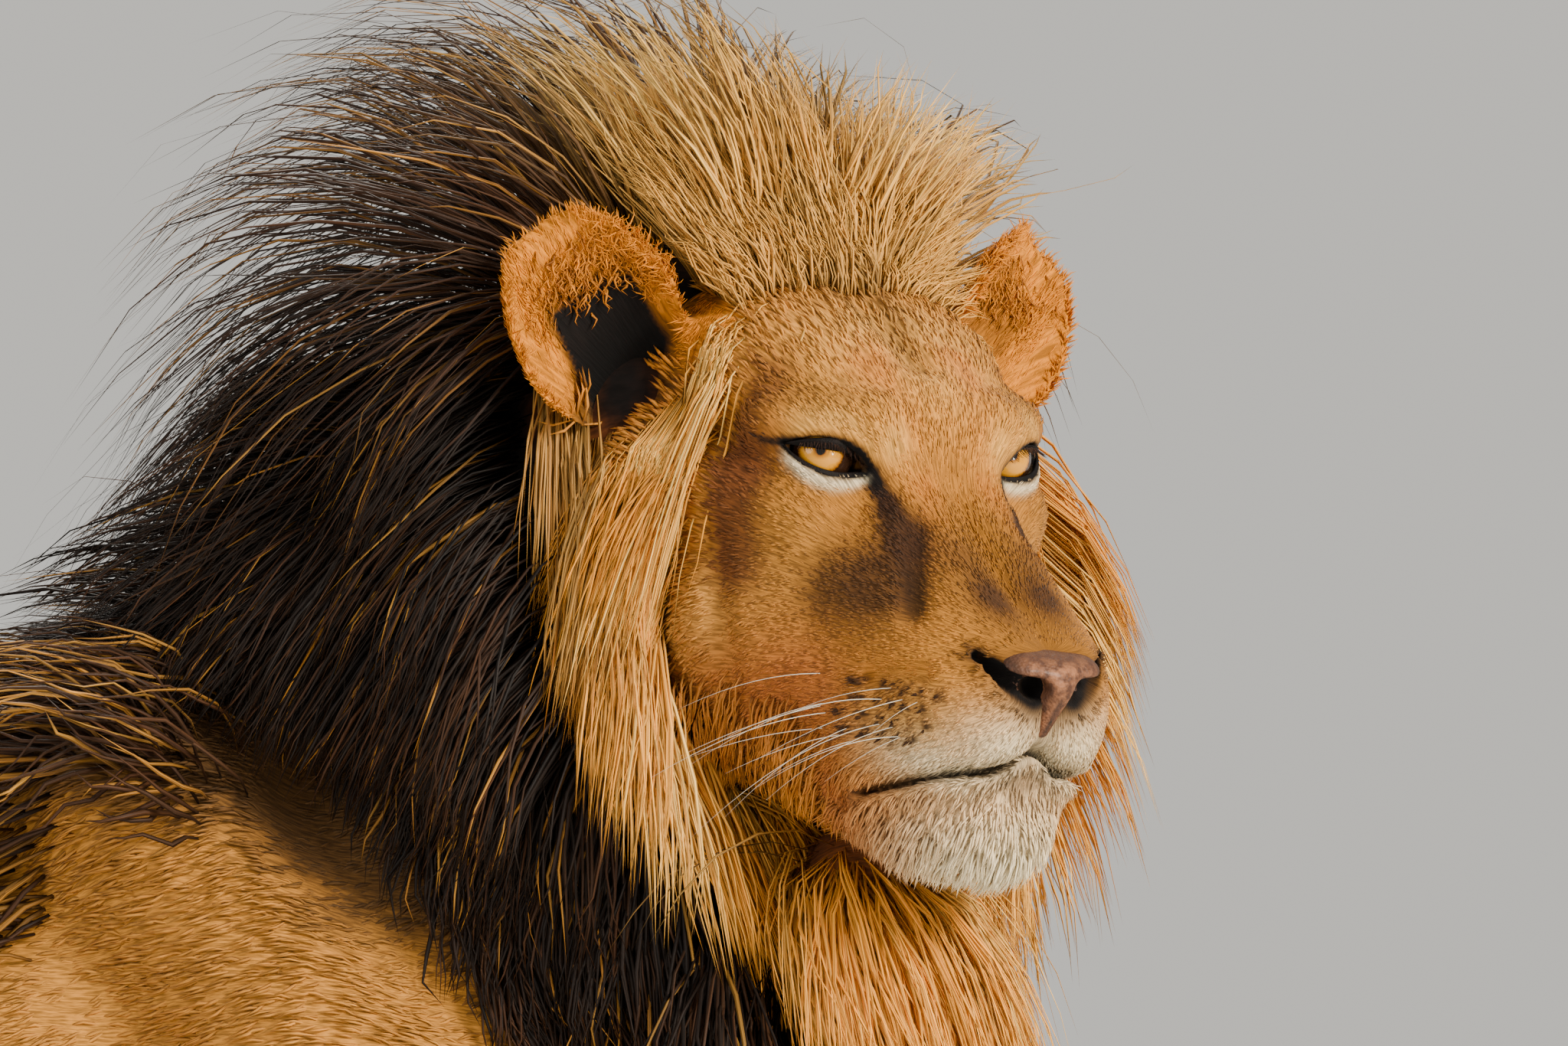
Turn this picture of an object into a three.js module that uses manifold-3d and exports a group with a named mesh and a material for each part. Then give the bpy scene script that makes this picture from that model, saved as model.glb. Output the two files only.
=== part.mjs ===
// A male lion standing alert with its head turned to its right, life size.
// Millimetres, +Z up, +X the way the body faces, +Y the lion's left. It stands on Z = 0.
// Every body part is a skin wrapped round a centre line, onto a smooth blend of muscle forms.
// The mane, ruff, chest hair and tail tuft are flat tapered locks rooted in the node they grow from.
import * as THREE from "three";
import { mergeVertices } from "three/addons/utils/BufferGeometryUtils.js";
import Module from "manifold-3d";

const wasm = await Module();
wasm.setup();

// ---------- driving dimensions ----------
const GAP = 0.45; // how far a neighbour is grown before it cuts a node, which leaves about 0.3 mm
const SHORTEST_EDGE = 0.15; // shorter edges, which cutting leaves, are closed up
const EYES_AT = [430, -150, 1175]; // the point midway between the eyes
const HEAD_YAW = -45; // degrees from the body's forward line, to the lion's right
const HEAD_PITCH = 12; // degrees, nose down
const HEAD_ROLL = -2.4; // degrees, the left side lower
const EYE = { out: 62, back: -13, up: -2, radius: 19, yaw: 20, pitch: -6 };
const LID = { length: 46, upper: 8.5, lower: 7.5, tilt: -14, depth: 40 };
const EAR = { back: -142, out: 118, up: 12, length: 130, halfWidth: 53, cup: 42, wall: 11 };
const TAIL_SPLIT = 0.52; // share of the tail's length that is the bare first half

const COLOURS = {
  fur: 0xb98a52,
  legs: 0xc0935c,
  mane: 0x4a3322,
  ear: 0xc07a34,
  eye: 0xc8922e,
  nose: 0x6b4438,
  jaw: 0xcdbb9c,
  tail: 0xa97b48,
};

const radians = THREE.MathUtils.degToRad;
const V = (x, y, z) => new THREE.Vector3(x, y, z);
const vec = (a) => new THREE.Vector3(...a);

// ---------- the head's own frame: x to the nose, y to the left, z up, origin between the eyes ----------
const headFrame = new THREE.Matrix4()
  .makeRotationZ(radians(HEAD_YAW))
  .multiply(new THREE.Matrix4().makeRotationY(radians(HEAD_PITCH)))
  .multiply(new THREE.Matrix4().makeRotationX(radians(HEAD_ROLL)))
  .setPosition(...EYES_AT);
const headFrameBack = headFrame.clone().invert();
const onHead = (x, y, z) => V(x, y, z).applyMatrix4(headFrame);
const headDirection = (x, y, z) => V(x, y, z).transformDirection(headFrame);

// ---------- muscle forms ----------
// A form is a ball-like blob {at, radii, pitch} or a rod {from, to, r: [start, end]}.
// mirror makes it on both sides, carve hollows the skin out instead, and soft sets how far it blends.
function formDistance(form, x, y, z) {
  const side = form.mirror ? Math.abs(y) : y;
  if (form.radii) {
    const dx = x - form.at[0],
      dy = side - form.at[1],
      dz = z - form.at[2];
    const c = form.cos ?? (form.cos = Math.cos(radians(form.pitch ?? 0)));
    const s = form.sin ?? (form.sin = Math.sin(radians(form.pitch ?? 0)));
    const px = c * dx - s * dz,
      pz = s * dx + c * dz;
    const [a, b, h] = form.radii;
    const near = Math.hypot(px / a, dy / b, pz / h);
    const slope = Math.hypot(px / (a * a), dy / (b * b), pz / (h * h));
    return slope < 1e-9 ? -Math.min(a, b, h) : (near * (near - 1)) / slope;
  }
  const [ax, ay, az] = form.from,
    [bx, by, bz] = form.to;
  const ex = bx - ax,
    ey = by - ay,
    ez = bz - az;
  const along = ((x - ax) * ex + (side - ay) * ey + (z - az) * ez) / (ex * ex + ey * ey + ez * ez);
  const t = Math.min(1, Math.max(0, along));
  const radius = form.r[0] + (form.r[1] - form.r[0]) * t;
  return Math.hypot(x - ax - ex * t, side - ay - ey * t, z - az - ez * t) - radius;
}

function smoothMin(a, b, k) {
  const h = Math.max(k - Math.abs(a - b), 0) / k;
  return Math.min(a, b) - (h * h * k) / 4;
}

function blend(forms, k) {
  const list = Object.values(forms);
  return (p) => {
    let d = 1e9;
    for (const form of list) {
      const one = formDistance(form, p.x, p.y, p.z);
      d = form.carve ? -smoothMin(-d, one, form.soft ?? k) : smoothMin(d, one, form.soft ?? k);
    }
    return d;
  };
}

const torsoForms = {
  ribcage: { at: [-150, 0, 795], radii: [330, 162, 212] },
  chest: { at: [110, 0, 770], radii: [165, 128, 175] },
  breast: { from: [150, 0, 660], to: [-60, 0, 610], r: [70, 62] },
  belly: { at: [-540, 0, 800], radii: [330, 132, 165] },
  loin: { from: [-120, 0, 930], to: [-900, 0, 925], r: [82, 78] },
  pelvis: { at: [-910, 0, 850], radii: [215, 128, 150] },
  withers: { from: [10, 40, 992], to: [-170, 40, 982], r: [50, 46], mirror: true },
  bladeBone: { from: [-30, 96, 970], to: [130, 126, 755], r: [64, 88], mirror: true },
  upperArm: { from: [125, 128, 735], to: [5, 138, 640], r: [86, 68], mirror: true },
  triceps: { from: [-110, 105, 800], to: [-10, 140, 650], r: [72, 58], mirror: true },
  thigh: { from: [-935, 88, 850], to: [-835, 125, 680], r: [128, 92], mirror: true },
  hamstring: { from: [-1060, 70, 850], to: [-960, 118, 660], r: [82, 66], mirror: true },
  rump: { at: [-1060, 48, 870], radii: [85, 70, 85], mirror: true },
};
const torsoField = blend(torsoForms, 55);
const torsoSpine = [
  [-1050, 0, 850],
  [-800, 0, 815],
  [-450, 0, 805],
  [-100, 0, 800],
  [90, 0, 805],
];

// The neck's forms carry the mane's dense core, about half as deep as the hair.
const neckForms = {
  nape: { from: [-60, 0, 1000], to: onHead(-178, 0, -20).toArray(), r: [74, 116] },
  crown: { from: onHead(-200, 0, 6).toArray(), to: onHead(-162, 0, 12).toArray(), r: [104, 74] },
  side: { from: [130, 0, 905], to: onHead(-190, 0, -85).toArray(), r: [150, 152] },
  throat: { from: [200, -15, 810], to: onHead(-120, 0, -150).toArray(), r: [132, 104] },
  bib: { from: [235, -28, 715], to: onHead(8, 0, -242).toArray(), r: [94, 60] },
  ruffLeft: { from: onHead(-208, 60, -5).toArray(), to: onHead(-108, 72, -150).toArray(), r: [92, 80] },
  ruffRight: { from: onHead(-208, -60, -5).toArray(), to: onHead(-108, -72, -150).toArray(), r: [92, 80] },
};
const neckField = blend(neckForms, 60);
const neckSpine = [
  [0, 0, 900],
  [90, -2, 930],
  [175, -10, 985],
  [240, -18, 1065],
];

const headForms = {
  cranium: { at: [-112, 0, 12], radii: [112, 88, 68] },
  forehead: { at: [-48, 0, 6], radii: [72, 72, 46] },
  temple: { at: [-105, 54, 14], radii: [80, 44, 52], mirror: true },
  bridge: { from: [-25, 18, -12], to: [126, 20, -92], r: [35, 25], mirror: true },
  maxilla: { from: [-5, 42, -66], to: [100, 36, -104], r: [38, 31], mirror: true },
  cheekFill: { from: [52, 44, -128], to: [-50, 62, -104], r: [36, 48], mirror: true },
  muzzle: { at: [98, 0, -116], radii: [66, 52, 50] },
  whiskerPad: { at: [116, 32, -128], radii: [44, 32, 38], mirror: true },
  lipSide: { from: [104, 42, -158], to: [72, 52, -168], r: [23, 23], mirror: true },
  cheekBone: { from: [-22, 74, -36], to: [-110, 90, -40], r: [29, 40], mirror: true },
  masseter: { at: [-62, 66, -108], radii: [74, 44, 74], mirror: true },
  jawBone: { from: [-80, 62, -158], to: [82, 30, -196], r: [40, 27], mirror: true },
  chin: { at: [106, 0, -196], radii: [38, 36, 30] },
  chinFill: { from: [100, 0, -172], to: [-20, 0, -175], r: [34, 48] },
  browRidge: { from: [2, 42, 20], to: [-32, 84, 12], r: [17, 17], mirror: true, soft: 18 },
  lidBulge: { at: [-12, 62, -3], radii: [25, 25, 22], mirror: true, soft: 12 },
  throatTop: { at: [-90, 0, -125], radii: [95, 66, 70] },
  foreheadGroove: { from: [-20, 0, 57], to: [-110, 0, 92], r: [9, 9], carve: true, soft: 16 },
};
const headLocalField = blend(headForms, 24);
const headField = (p) => headLocalField(p.clone().applyMatrix4(headFrameBack));

const noseForms = {
  pad: { at: [145, 0, -87], radii: [20, 37, 18] },
  wing: { at: [139, 28, -91], radii: [21, 17, 18], mirror: true },
  septum: { from: [156, 0, -98], to: [150, 0, -120], r: [11, 6] },
};
const noseLocalField = blend(noseForms, 9);

// ---------- wrapping a skin round a centre line ----------
// Each ring sends rays out from one point of the line; tilted rays close the ends over a pole.
function wrap(field, linePoints, options) {
  const { rings, angles, level = 0, reach = 520, up = V(0, 0, 1), step = 7, floor = null } = options;
  const line = new THREE.CatmullRomCurve3(linePoints.map(vec), false, "centripetal");
  const points = [];
  const ringStart = [];
  const castRay = (origin, direction) => {
    const at = (r) => field(origin.clone().addScaledVector(direction, r)) - level;
    let exit = 0;
    for (let r = step, inside = at(0) < 0; r <= reach; r += step) {
      const now = at(r) < 0;
      if (inside && !now) exit = r;
      inside = now;
    }
    let low = Math.max(0, exit - step),
      high = exit;
    for (let i = 0; i < 14; i++) {
      const middle = (low + high) / 2;
      if (at(middle) < 0) low = middle;
      else high = middle;
    }
    const p = origin.clone().addScaledVector(direction, (low + high) / 2);
    if (floor !== null && p.z < floor + 0.2) p.z = floor;
    return p;
  };
  for (const [t, tilt] of rings) {
    const origin = line.getPoint(t);
    const forward = line.getTangent(t).normalize();
    const top = up.clone().addScaledVector(forward, -up.dot(forward)).normalize();
    const left = forward.clone().cross(top);
    const c = Math.cos(radians(tilt)),
      s = Math.sin(radians(tilt));
    ringStart.push(points.length);
    if (Math.abs(tilt) === 90) {
      points.push(castRay(origin, forward.clone().multiplyScalar(Math.sign(tilt))));
      continue;
    }
    for (const angle of angles) {
      const a = radians(angle);
      const outward = top.clone().multiplyScalar(Math.cos(a)).addScaledVector(left, Math.sin(a));
      points.push(castRay(origin, outward.multiplyScalar(c).addScaledVector(forward, s)));
    }
  }
  const n = angles.length,
    faces = [];
  for (let i = 0; i + 1 < rings.length; i++) {
    const a = ringStart[i],
      b = ringStart[i + 1];
    const aPole = Math.abs(rings[i][1]) === 90,
      bPole = Math.abs(rings[i + 1][1]) === 90;
    for (let j = 0; j < n; j++) {
      const k = (j + 1) % n;
      if (aPole) faces.push(a, b + k, b + j);
      else if (bPole) faces.push(a + j, a + k, b);
      else faces.push(a + j, a + k, b + k, a + j, b + k, b + j);
    }
  }
  return closedGeometry(points, faces);
}

function closedGeometry(points, faces) {
  const flat = new Float32Array(points.length * 3);
  points.forEach((p, i) => flat.set([p.x, p.y, p.z], i * 3));
  const g = new THREE.BufferGeometry().setAttribute("position", new THREE.BufferAttribute(flat, 3));
  return g.setIndex(faces);
}

// Rings for a wrapped skin: a closed cap at the start, even rings along the line, a closed cap at the end.
function ringList(startTilts, along, endTilts) {
  return [
    ...startTilts.map((tilt) => [0, -tilt]),
    ...Array.from({ length: along }, (_, i) => [i / (along - 1), 0]),
    ...endTilts.map((tilt) => [1, tilt]),
  ];
}
const evenAngles = (n) => Array.from({ length: n }, (_, i) => (i * 360) / n);

// ---------- joining and cutting ----------
function solid(geometry) {
  const g = geometry.clone();
  g.deleteAttribute("normal");
  g.deleteAttribute("uv");
  const merged = mergeVertices(g, 1e-3);
  return new wasm.Manifold(
    new wasm.Mesh({
      numProp: 3,
      vertProperties: merged.attributes.position.array,
      triVerts: new Uint32Array(merged.index.array),
    }),
  );
}

// Closes up edges that cutting has left shorter than least, moving one end onto the other.
function withoutShortEdges(shape, least) {
  const m = shape.getMesh(),
    at = (i) => V(...m.vertProperties.subarray(i * m.numProp, i * m.numProp + 3));
  const points = Array.from({ length: m.numVert }, (_, i) => at(i));
  let faces = [];
  for (let i = 0; i < m.triVerts.length; i += 3) faces.push([...m.triVerts.subarray(i, i + 3)]);
  const around = points.map(() => new Set());
  faces.forEach((f, i) => f.forEach((v) => around[v].add(i)));
  const normal = (f, from, to) => {
    const [a, b, c] = f.map((v) => points[v === from ? to : v]);
    return b.clone().sub(a).cross(c.clone().sub(a));
  };
  const neighbours = (v) => new Set([...around[v]].flatMap((i) => faces[i].filter((o) => o !== v)));
  let changed = true;
  for (let pass = 0; changed && pass < 6; pass++) {
    changed = false;
    for (let i = 0; i < faces.length; i++) {
      for (let k = 0; k < 3 && faces[i]; k++) {
        const a = faces[i][k],
          b = faces[i][(k + 1) % 3];
        if (points[a].distanceTo(points[b]) >= least) continue;
        const shared = [...neighbours(a)].filter((v) => neighbours(b).has(v));
        if (shared.length !== 2) continue;
        const collapse = [
          [b, a],
          [a, b],
        ].find(([from, to]) =>
          [...around[from]].every((j) => {
            if (faces[j].includes(to)) return true;
            const before = normal(faces[j]),
              after = normal(faces[j], from, to);
            return before.length() < 1e-3 || before.dot(after) > 0.2 * before.length() * after.length();
          }),
        );
        if (!collapse) continue;
        const [from, to] = collapse;
        for (const j of [...around[from]]) {
          if (faces[j].includes(to)) {
            faces[j].forEach((v) => around[v].delete(j));
            faces[j] = null;
          } else {
            faces[j] = faces[j].map((v) => (v === from ? to : v));
            around[to].add(j);
          }
        }
        around[from].clear();
        changed = true;
      }
    }
  }
  return solid(closedGeometry(points, faces.filter(Boolean).flat()));
}

function largest(shape) {
  return shape.decompose().sort((a, b) => b.volume() - a.volume())[0];
}

function pointsOf(m) {
  const flat = new Float32Array(m.numVert * 3);
  for (let i = 0; i < m.numVert; i++)
    flat.set(m.vertProperties.subarray(i * m.numProp, i * m.numProp + 3), i * 3);
  return new THREE.BufferAttribute(flat, 3);
}

// Fills a pocket that fusing has sealed, by keeping only the outermost surface.
function outerSurface(shape) {
  const m = shape.getMesh();
  const parent = Array.from({ length: m.numVert }, (_, i) => i);
  const find = (i) => {
    while (parent[i] !== i) i = parent[i] = parent[parent[i]];
    return i;
  };
  for (let i = 0; i < m.triVerts.length; i += 3) {
    parent[find(m.triVerts[i])] = find(m.triVerts[i + 1]);
    parent[find(m.triVerts[i + 1])] = find(m.triVerts[i + 2]);
  }
  const groups = new Map();
  for (let i = 0; i < m.triVerts.length; i += 3) {
    const key = find(m.triVerts[i]);
    if (!groups.has(key)) groups.set(key, []);
    groups.get(key).push(m.triVerts[i], m.triVerts[i + 1], m.triVerts[i + 2]);
  }
  if (groups.size === 1) return shape;
  const biggest = [...groups.values()].sort((a, b) => b.length - a.length)[0];
  return solid(new THREE.BufferGeometry().setAttribute("position", pointsOf(m)).setIndex(biggest));
}

function fromSolid(shape) {
  const m = shape.getMesh();
  const g = new THREE.BufferGeometry().setAttribute("position", pointsOf(m));
  g.setIndex(new THREE.BufferAttribute(new Uint32Array(m.triVerts), 1));
  g.computeVertexNormals();
  return g;
}

const root = new THREE.Group();
function node(name, shape, colour, roughness = 0.9, metalness = 0) {
  const material = new THREE.MeshStandardMaterial({ color: colour, roughness, metalness });
  let tidy = withoutShortEdges(outerSurface(largest(shape)), SHORTEST_EDGE);
  for (let i = 0; i < 3; i++) tidy = outerSurface(largest(solid(fromSolid(tidy))));
  const mesh = new THREE.Mesh(fromSolid(tidy), material);
  mesh.name = name;
  root.add(mesh);
}

// ---------- torso ----------
const torsoWrap = { rings: ringList([90, 62, 38, 18], 19, [16, 34, 52, 70, 90]), angles: evenAngles(26) };
const torso = solid(wrap(torsoField, torsoSpine, torsoWrap));
const torsoGrown = solid(wrap(torsoField, torsoSpine, { ...torsoWrap, level: GAP }));

// ---------- head ----------
const headAngles = [0, 11, 21, 30, 39, 48, 57, 67, 79, 93, 109, 126, 142, 156, 168];
const headSides = [...headAngles, 180, ...headAngles.slice(1).map((a) => 360 - a).reverse()];
const headLine = [
  [-150, 0, -42],
  [-60, 0, -62],
  [20, 0, -92],
  [92, 0, -122],
];
const headWrap = {
  rings: [
    ...[-90, -55, -24].map((tilt) => [0, tilt]),
    ...[0, 0.1, 0.19, 0.26, 0.32, 0.37, 0.41, 0.45, 0.49, 0.53].map((t) => [t, 0]),
    ...[0.58, 0.63, 0.68, 0.73, 0.78, 0.83, 0.88, 0.94, 1].map((t) => [t, 0]),
    ...[10, 20, 30, 41, 52, 66, 90].map((tilt) => [1, tilt]),
  ],
  angles: headSides,
  reach: 200,
  step: 4,
};
const placeOnHead = (g) => g.applyMatrix4(headFrame);
const headWhole = solid(placeOnHead(wrap(headLocalField, headLine, headWrap)));
// What the mane's core is cut by: a coarser, fatter copy of the head.
const headCoarse = {
  rings: ringList([90, 66, 44, 22], 11, [22, 44, 66, 90]),
  angles: evenAngles(24),
  reach: 200,
  step: 4,
  level: 6.4,
};
const headGrown = solid(placeOnHead(wrap(headLocalField, headLine, headCoarse)));

const noseLine = [
  [134, 0, -92],
  [146, 0, -92],
];
const noseWrap = {
  rings: ringList([90, 50], 3, [18, 38, 60, 90]),
  angles: evenAngles(16),
  reach: 60,
  step: 2,
};
const noseWhole = solid(placeOnHead(wrap(noseLocalField, noseLine, noseWrap)));
const noseGrown = solid(placeOnHead(wrap(noseLocalField, noseLine, { ...noseWrap, level: GAP })));

// A nostril: a round opening drawn out into a slit that curls up the wing.
function nostril(side) {
  const outline = new THREE.Shape();
  outline.moveTo(-8, -6);
  outline.quadraticCurveTo(-1, -11, 5, -5);
  outline.quadraticCurveTo(9, 0, 20, 5);
  outline.quadraticCurveTo(12, 5, 6, 3);
  outline.quadraticCurveTo(-4, 10, -8, 3);
  outline.closePath();
  const g = new THREE.ExtrudeGeometry(outline, { depth: 30, bevelEnabled: false, curveSegments: 3 });
  g.applyMatrix4(new THREE.Matrix4().makeBasis(V(0, side, 0), V(0, 0, 1), V(side, 0, 0)));
  g.rotateZ(radians(28 * side));
  g.translate(side > 0 ? 138 : 168, 16 * side, -91);
  return g;
}

// The eyelids' opening: an almond cut along the eye's own line of sight.
function lidOpening(side) {
  const outline = new THREE.Shape();
  const half = LID.length / 2;
  outline.moveTo(-half, 0);
  outline.quadraticCurveTo(0, LID.upper * 2, half, 0);
  outline.quadraticCurveTo(0, -LID.lower * 2, -half, 0);
  const g = new THREE.ExtrudeGeometry(outline, { depth: LID.depth, bevelEnabled: false, curveSegments: 7 });
  g.applyMatrix4(new THREE.Matrix4().makeBasis(V(0, 1, 0), V(0, 0, 1), V(1, 0, 0)));
  g.rotateX(radians(LID.tilt * -side));
  g.rotateY(radians(EYE.pitch * -1));
  g.rotateZ(radians(EYE.yaw * side));
  return g.translate(EYE.back, EYE.out * side, EYE.up);
}

function eyeball(side, radius) {
  const g = new THREE.SphereGeometry(radius, 14, 9);
  return g.rotateZ(radians(EYE.yaw * side)).translate(EYE.back, EYE.out * side, EYE.up);
}

// The lower jaw is parted from the head along the line of the lips, then down behind the chin.
function jawBlock(grow) {
  const lips = new THREE.Shape();
  lips.moveTo(200, -139 + grow);
  lips.lineTo(152, -145 + grow);
  lips.quadraticCurveTo(130, -152 + grow, 110, -168 + grow);
  lips.quadraticCurveTo(88, -186 + grow, 62 - grow, -184 + grow);
  lips.quadraticCurveTo(46 - grow, -204, 38 - grow, -270);
  lips.lineTo(200, -270);
  const g = new THREE.ExtrudeGeometry(lips, { depth: 260, bevelEnabled: false, curveSegments: 5 });
  g.applyMatrix4(new THREE.Matrix4().makeBasis(V(1, 0, 0), V(0, 0, 1), V(0, -1, 0)));
  return g.translate(0, 130, 0);
}

let skull = headWhole.subtract(noseGrown).subtract(solid(placeOnHead(jawBlock(0.9))));
let jaw = headWhole.intersect(solid(placeOnHead(jawBlock(0)))).subtract(noseGrown);
let nosePad = noseWhole;
for (const side of [1, -1]) {
  const hole = solid(placeOnHead(nostril(side)));
  nosePad = nosePad.subtract(hole);
  skull = skull.subtract(hole);
  const socket = solid(placeOnHead(eyeball(side, EYE.radius + 0.4)));
  skull = skull.subtract(solid(placeOnHead(lidOpening(side)))).subtract(socket);
}

// ---------- ears ----------
// A cupped plate: an outer skin and an inner skin, joined round a thick rim.
function ear(side, grow) {
  const across = 10,
    along = 7,
    spread = 78;
  const axis = V(-0.04, 0.6 * side, 0.8).normalize();
  const open = V(0.98, 0.14 * side, -0.1);
  open.addScaledVector(axis, -open.dot(axis)).normalize();
  const wide = axis.clone().cross(open);
  const base = V(EAR.back, EAR.out * side, EAR.up);
  const length = EAR.length + grow,
    wall = EAR.wall + grow * 2;
  const widthAt = (v) =>
    v < 0.5 ? 0.5 + 0.5 * Math.sin((v / 0.5) * 1.57) : Math.sqrt(Math.max(0, 1 - ((v - 0.5) / 0.52) ** 2));
  const points = [],
    faces = [];
  const row = (inner) => {
    for (let i = 0; i <= along; i++) {
      const v = (i / along) * (inner ? 0.93 : 1);
      for (let j = 0; j <= across; j++) {
        const u = (j / across) * 2 - 1,
          a = radians(u * spread),
          half = Math.max(EAR.halfWidth * widthAt(v), 7) + grow - (inner ? wall * 0.45 : 0);
        const deep = EAR.cup * (1 - 0.45 * v) * (half / EAR.halfWidth);
        const lift = (1 - Math.cos(a)) / (1 - Math.cos(radians(spread)));
        const thick = inner ? wall * (1 - 0.45 * Math.abs(u) ** 3) : 0;
        const p = base
          .clone()
          .addScaledVector(axis, v * length - 26)
          .addScaledVector(wide, (half * Math.sin(a)) / Math.sin(radians(spread)))
          .addScaledVector(open, deep * lift + thick - grow * (inner ? -1 : 1) - 22 + 26 * v * (1 - v));
        points.push(p);
      }
    }
  };
  row(false);
  row(true);
  const w = across + 1,
    off = w * (along + 1);
  const quad = (a, b, c, d) => faces.push(a, b, c, a, c, d);
  for (let i = 0; i < along; i++)
    for (let j = 0; j < across; j++) {
      const a = i * w + j;
      quad(a, a + w, a + w + 1, a + 1);
      quad(off + a, off + a + 1, off + a + w + 1, off + a + w);
    }
  for (let j = 0; j < across; j++) {
    quad(j, j + 1, off + j + 1, off + j);
    const t = along * w + j;
    quad(t, off + t, off + t + 1, t + 1);
  }
  for (let i = 0; i < along; i++) {
    const l = i * w,
      r = i * w + across;
    quad(l, off + l, off + l + w, l + w);
    quad(r, r + w, off + r + w, off + r);
  }
  return placeOnHead(closedGeometry(points, faces));
}

// ---------- locks ----------
// A flat tapered lock: its root is sunk in the core, and it bends from the outward way to the hair's flow.
function seeded(seed) {
  let state = seed >>> 0;
  return () => {
    state = (state + 0x6d2b79f5) >>> 0;
    let t = Math.imul(state ^ (state >>> 15), 1 | state);
    t = (t + Math.imul(t ^ (t >>> 7), 61 | t)) ^ t;
    return ((t ^ (t >>> 14)) >>> 0) / 4294967296;
  };
}

function lock({ at, outward, flow, length, width, thick, lift, droop = 0.3, twist = 0, sink = 18 }, grow) {
  const stations = [0, 0.16, 0.42, 0.72, 1];
  const broad = [0.8, 1, 0.86, 0.5, 0];
  const deep = [1, 1, 0.8, 0.5, 0];
  const points = [],
    faces = [];
  const p = at.clone().addScaledVector(outward, -sink);
  const side = outward.clone().cross(flow).normalize();
  const total = length + sink;
  for (let i = 0; i < stations.length; i++) {
    const s = stations[i],
      before = i ? stations[i - 1] : 0;
    const heading = outward
      .clone()
      .multiplyScalar(0.15 + lift * (1 - s) ** 1.1)
      .addScaledVector(flow, 0.25 + 0.9 * s)
      .addScaledVector(V(0, 0, -1), droop * s * s)
      .addScaledVector(side, twist * Math.sin(s * 3.1))
      .normalize();
    if (i) p.addScaledVector(heading, total * (s - before) + (i === stations.length - 1 ? 2 * grow : 0));
    if (i === 0) p.addScaledVector(heading, -grow);
    const across = side.clone().addScaledVector(heading, -side.dot(heading)).normalize();
    const above = across.clone().cross(heading).normalize();
    if (i === stations.length - 1) points.push(p.clone());
    else
      [
        [width * broad[i] * 0.5 + 3 * grow, -thick * deep[i] * 0.3 - grow],
        [0, thick * deep[i] * 0.7 + 2 * grow],
        [-width * broad[i] * 0.5 - 3 * grow, -thick * deep[i] * 0.3 - grow],
      ].forEach(([x, y]) => points.push(p.clone().addScaledVector(across, x).addScaledVector(above, y)));
  }
  const last = stations.length - 2;
  for (let i = 0; i < last; i++)
    for (let j = 0; j < 3; j++) {
      const a = i * 3 + j,
        b = i * 3 + ((j + 1) % 3);
      faces.push(a, b + 3, b, a, a + 3, b + 3);
    }
  faces.push(0, 1, 2);
  for (let j = 0; j < 3; j++) faces.push(last * 3 + j, last * 3 + 3, last * 3 + ((j + 1) % 3));
  return solid(closedGeometry(points, faces));
}

function slope(field, p) {
  const e = 2;
  const d = (v) => field(p.clone().add(v)) - field(p.clone().sub(v));
  return V(d(V(e, 0, 0)), d(V(0, e, 0)), d(V(0, 0, e))).normalize();
}

// Finds roots spread evenly over a core: style(p, outward) gives a lock's shape there, or null for none.
function rootsOver(field, linePoints, count, seed, style, tilts) {
  const random = seeded(seed);
  const line = new THREE.CatmullRomCurve3(linePoints.map(vec), false, "centripetal");
  const roots = [];
  for (let i = 0; i < count; i++) {
    const whole = tilts[0] + (tilts[1] - tilts[0]) * random();
    const t = Math.min(1, Math.max(0, whole));
    const tilt = whole < 0 ? whole * 90 : whole > 1 ? (whole - 1) * 90 : 0;
    const angle = radians(random() * 360);
    const origin = line.getPoint(t),
      forward = line.getTangent(t).normalize();
    const top = V(0, 0, 1).addScaledVector(forward, -forward.z).normalize();
    const left = forward.clone().cross(top);
    const way = top.multiplyScalar(Math.cos(angle)).addScaledVector(left, Math.sin(angle));
    way.multiplyScalar(Math.cos(radians(tilt))).addScaledVector(forward, Math.sin(radians(tilt)));
    let low = 0;
    for (let r = 0; r < 520; r += 12) if (field(origin.clone().addScaledVector(way, r)) < 0) low = r;
    let high = low + 12;
    for (let k = 0; k < 8; k++) {
      const r = (low + high) / 2;
      if (field(origin.clone().addScaledVector(way, r)) < 0) low = r;
      else high = r;
    }
    const at = origin.clone().addScaledVector(way, low);
    const outward = slope(field, at);
    const shape = style(at, outward, random);
    if (!shape || roots.some((r) => r.at.distanceTo(at) < Math.min(shape.apart, r.apart))) continue;
    const flow = shape.flow.clone().addScaledVector(outward, -shape.flow.dot(outward)).normalize();
    roots.push({ ...shape, at, outward, flow });
  }
  return roots;
}

// ---------- neck ----------
const neckWrap = { rings: ringList([90, 60, 30], 10, [22, 44, 66, 90]), angles: evenAngles(22), reach: 420 };
const neckCore = solid(wrap(neckField, neckSpine, neckWrap));
const neckCoreGrown = solid(wrap(neckField, neckSpine, { ...neckWrap, level: GAP }));

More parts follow.
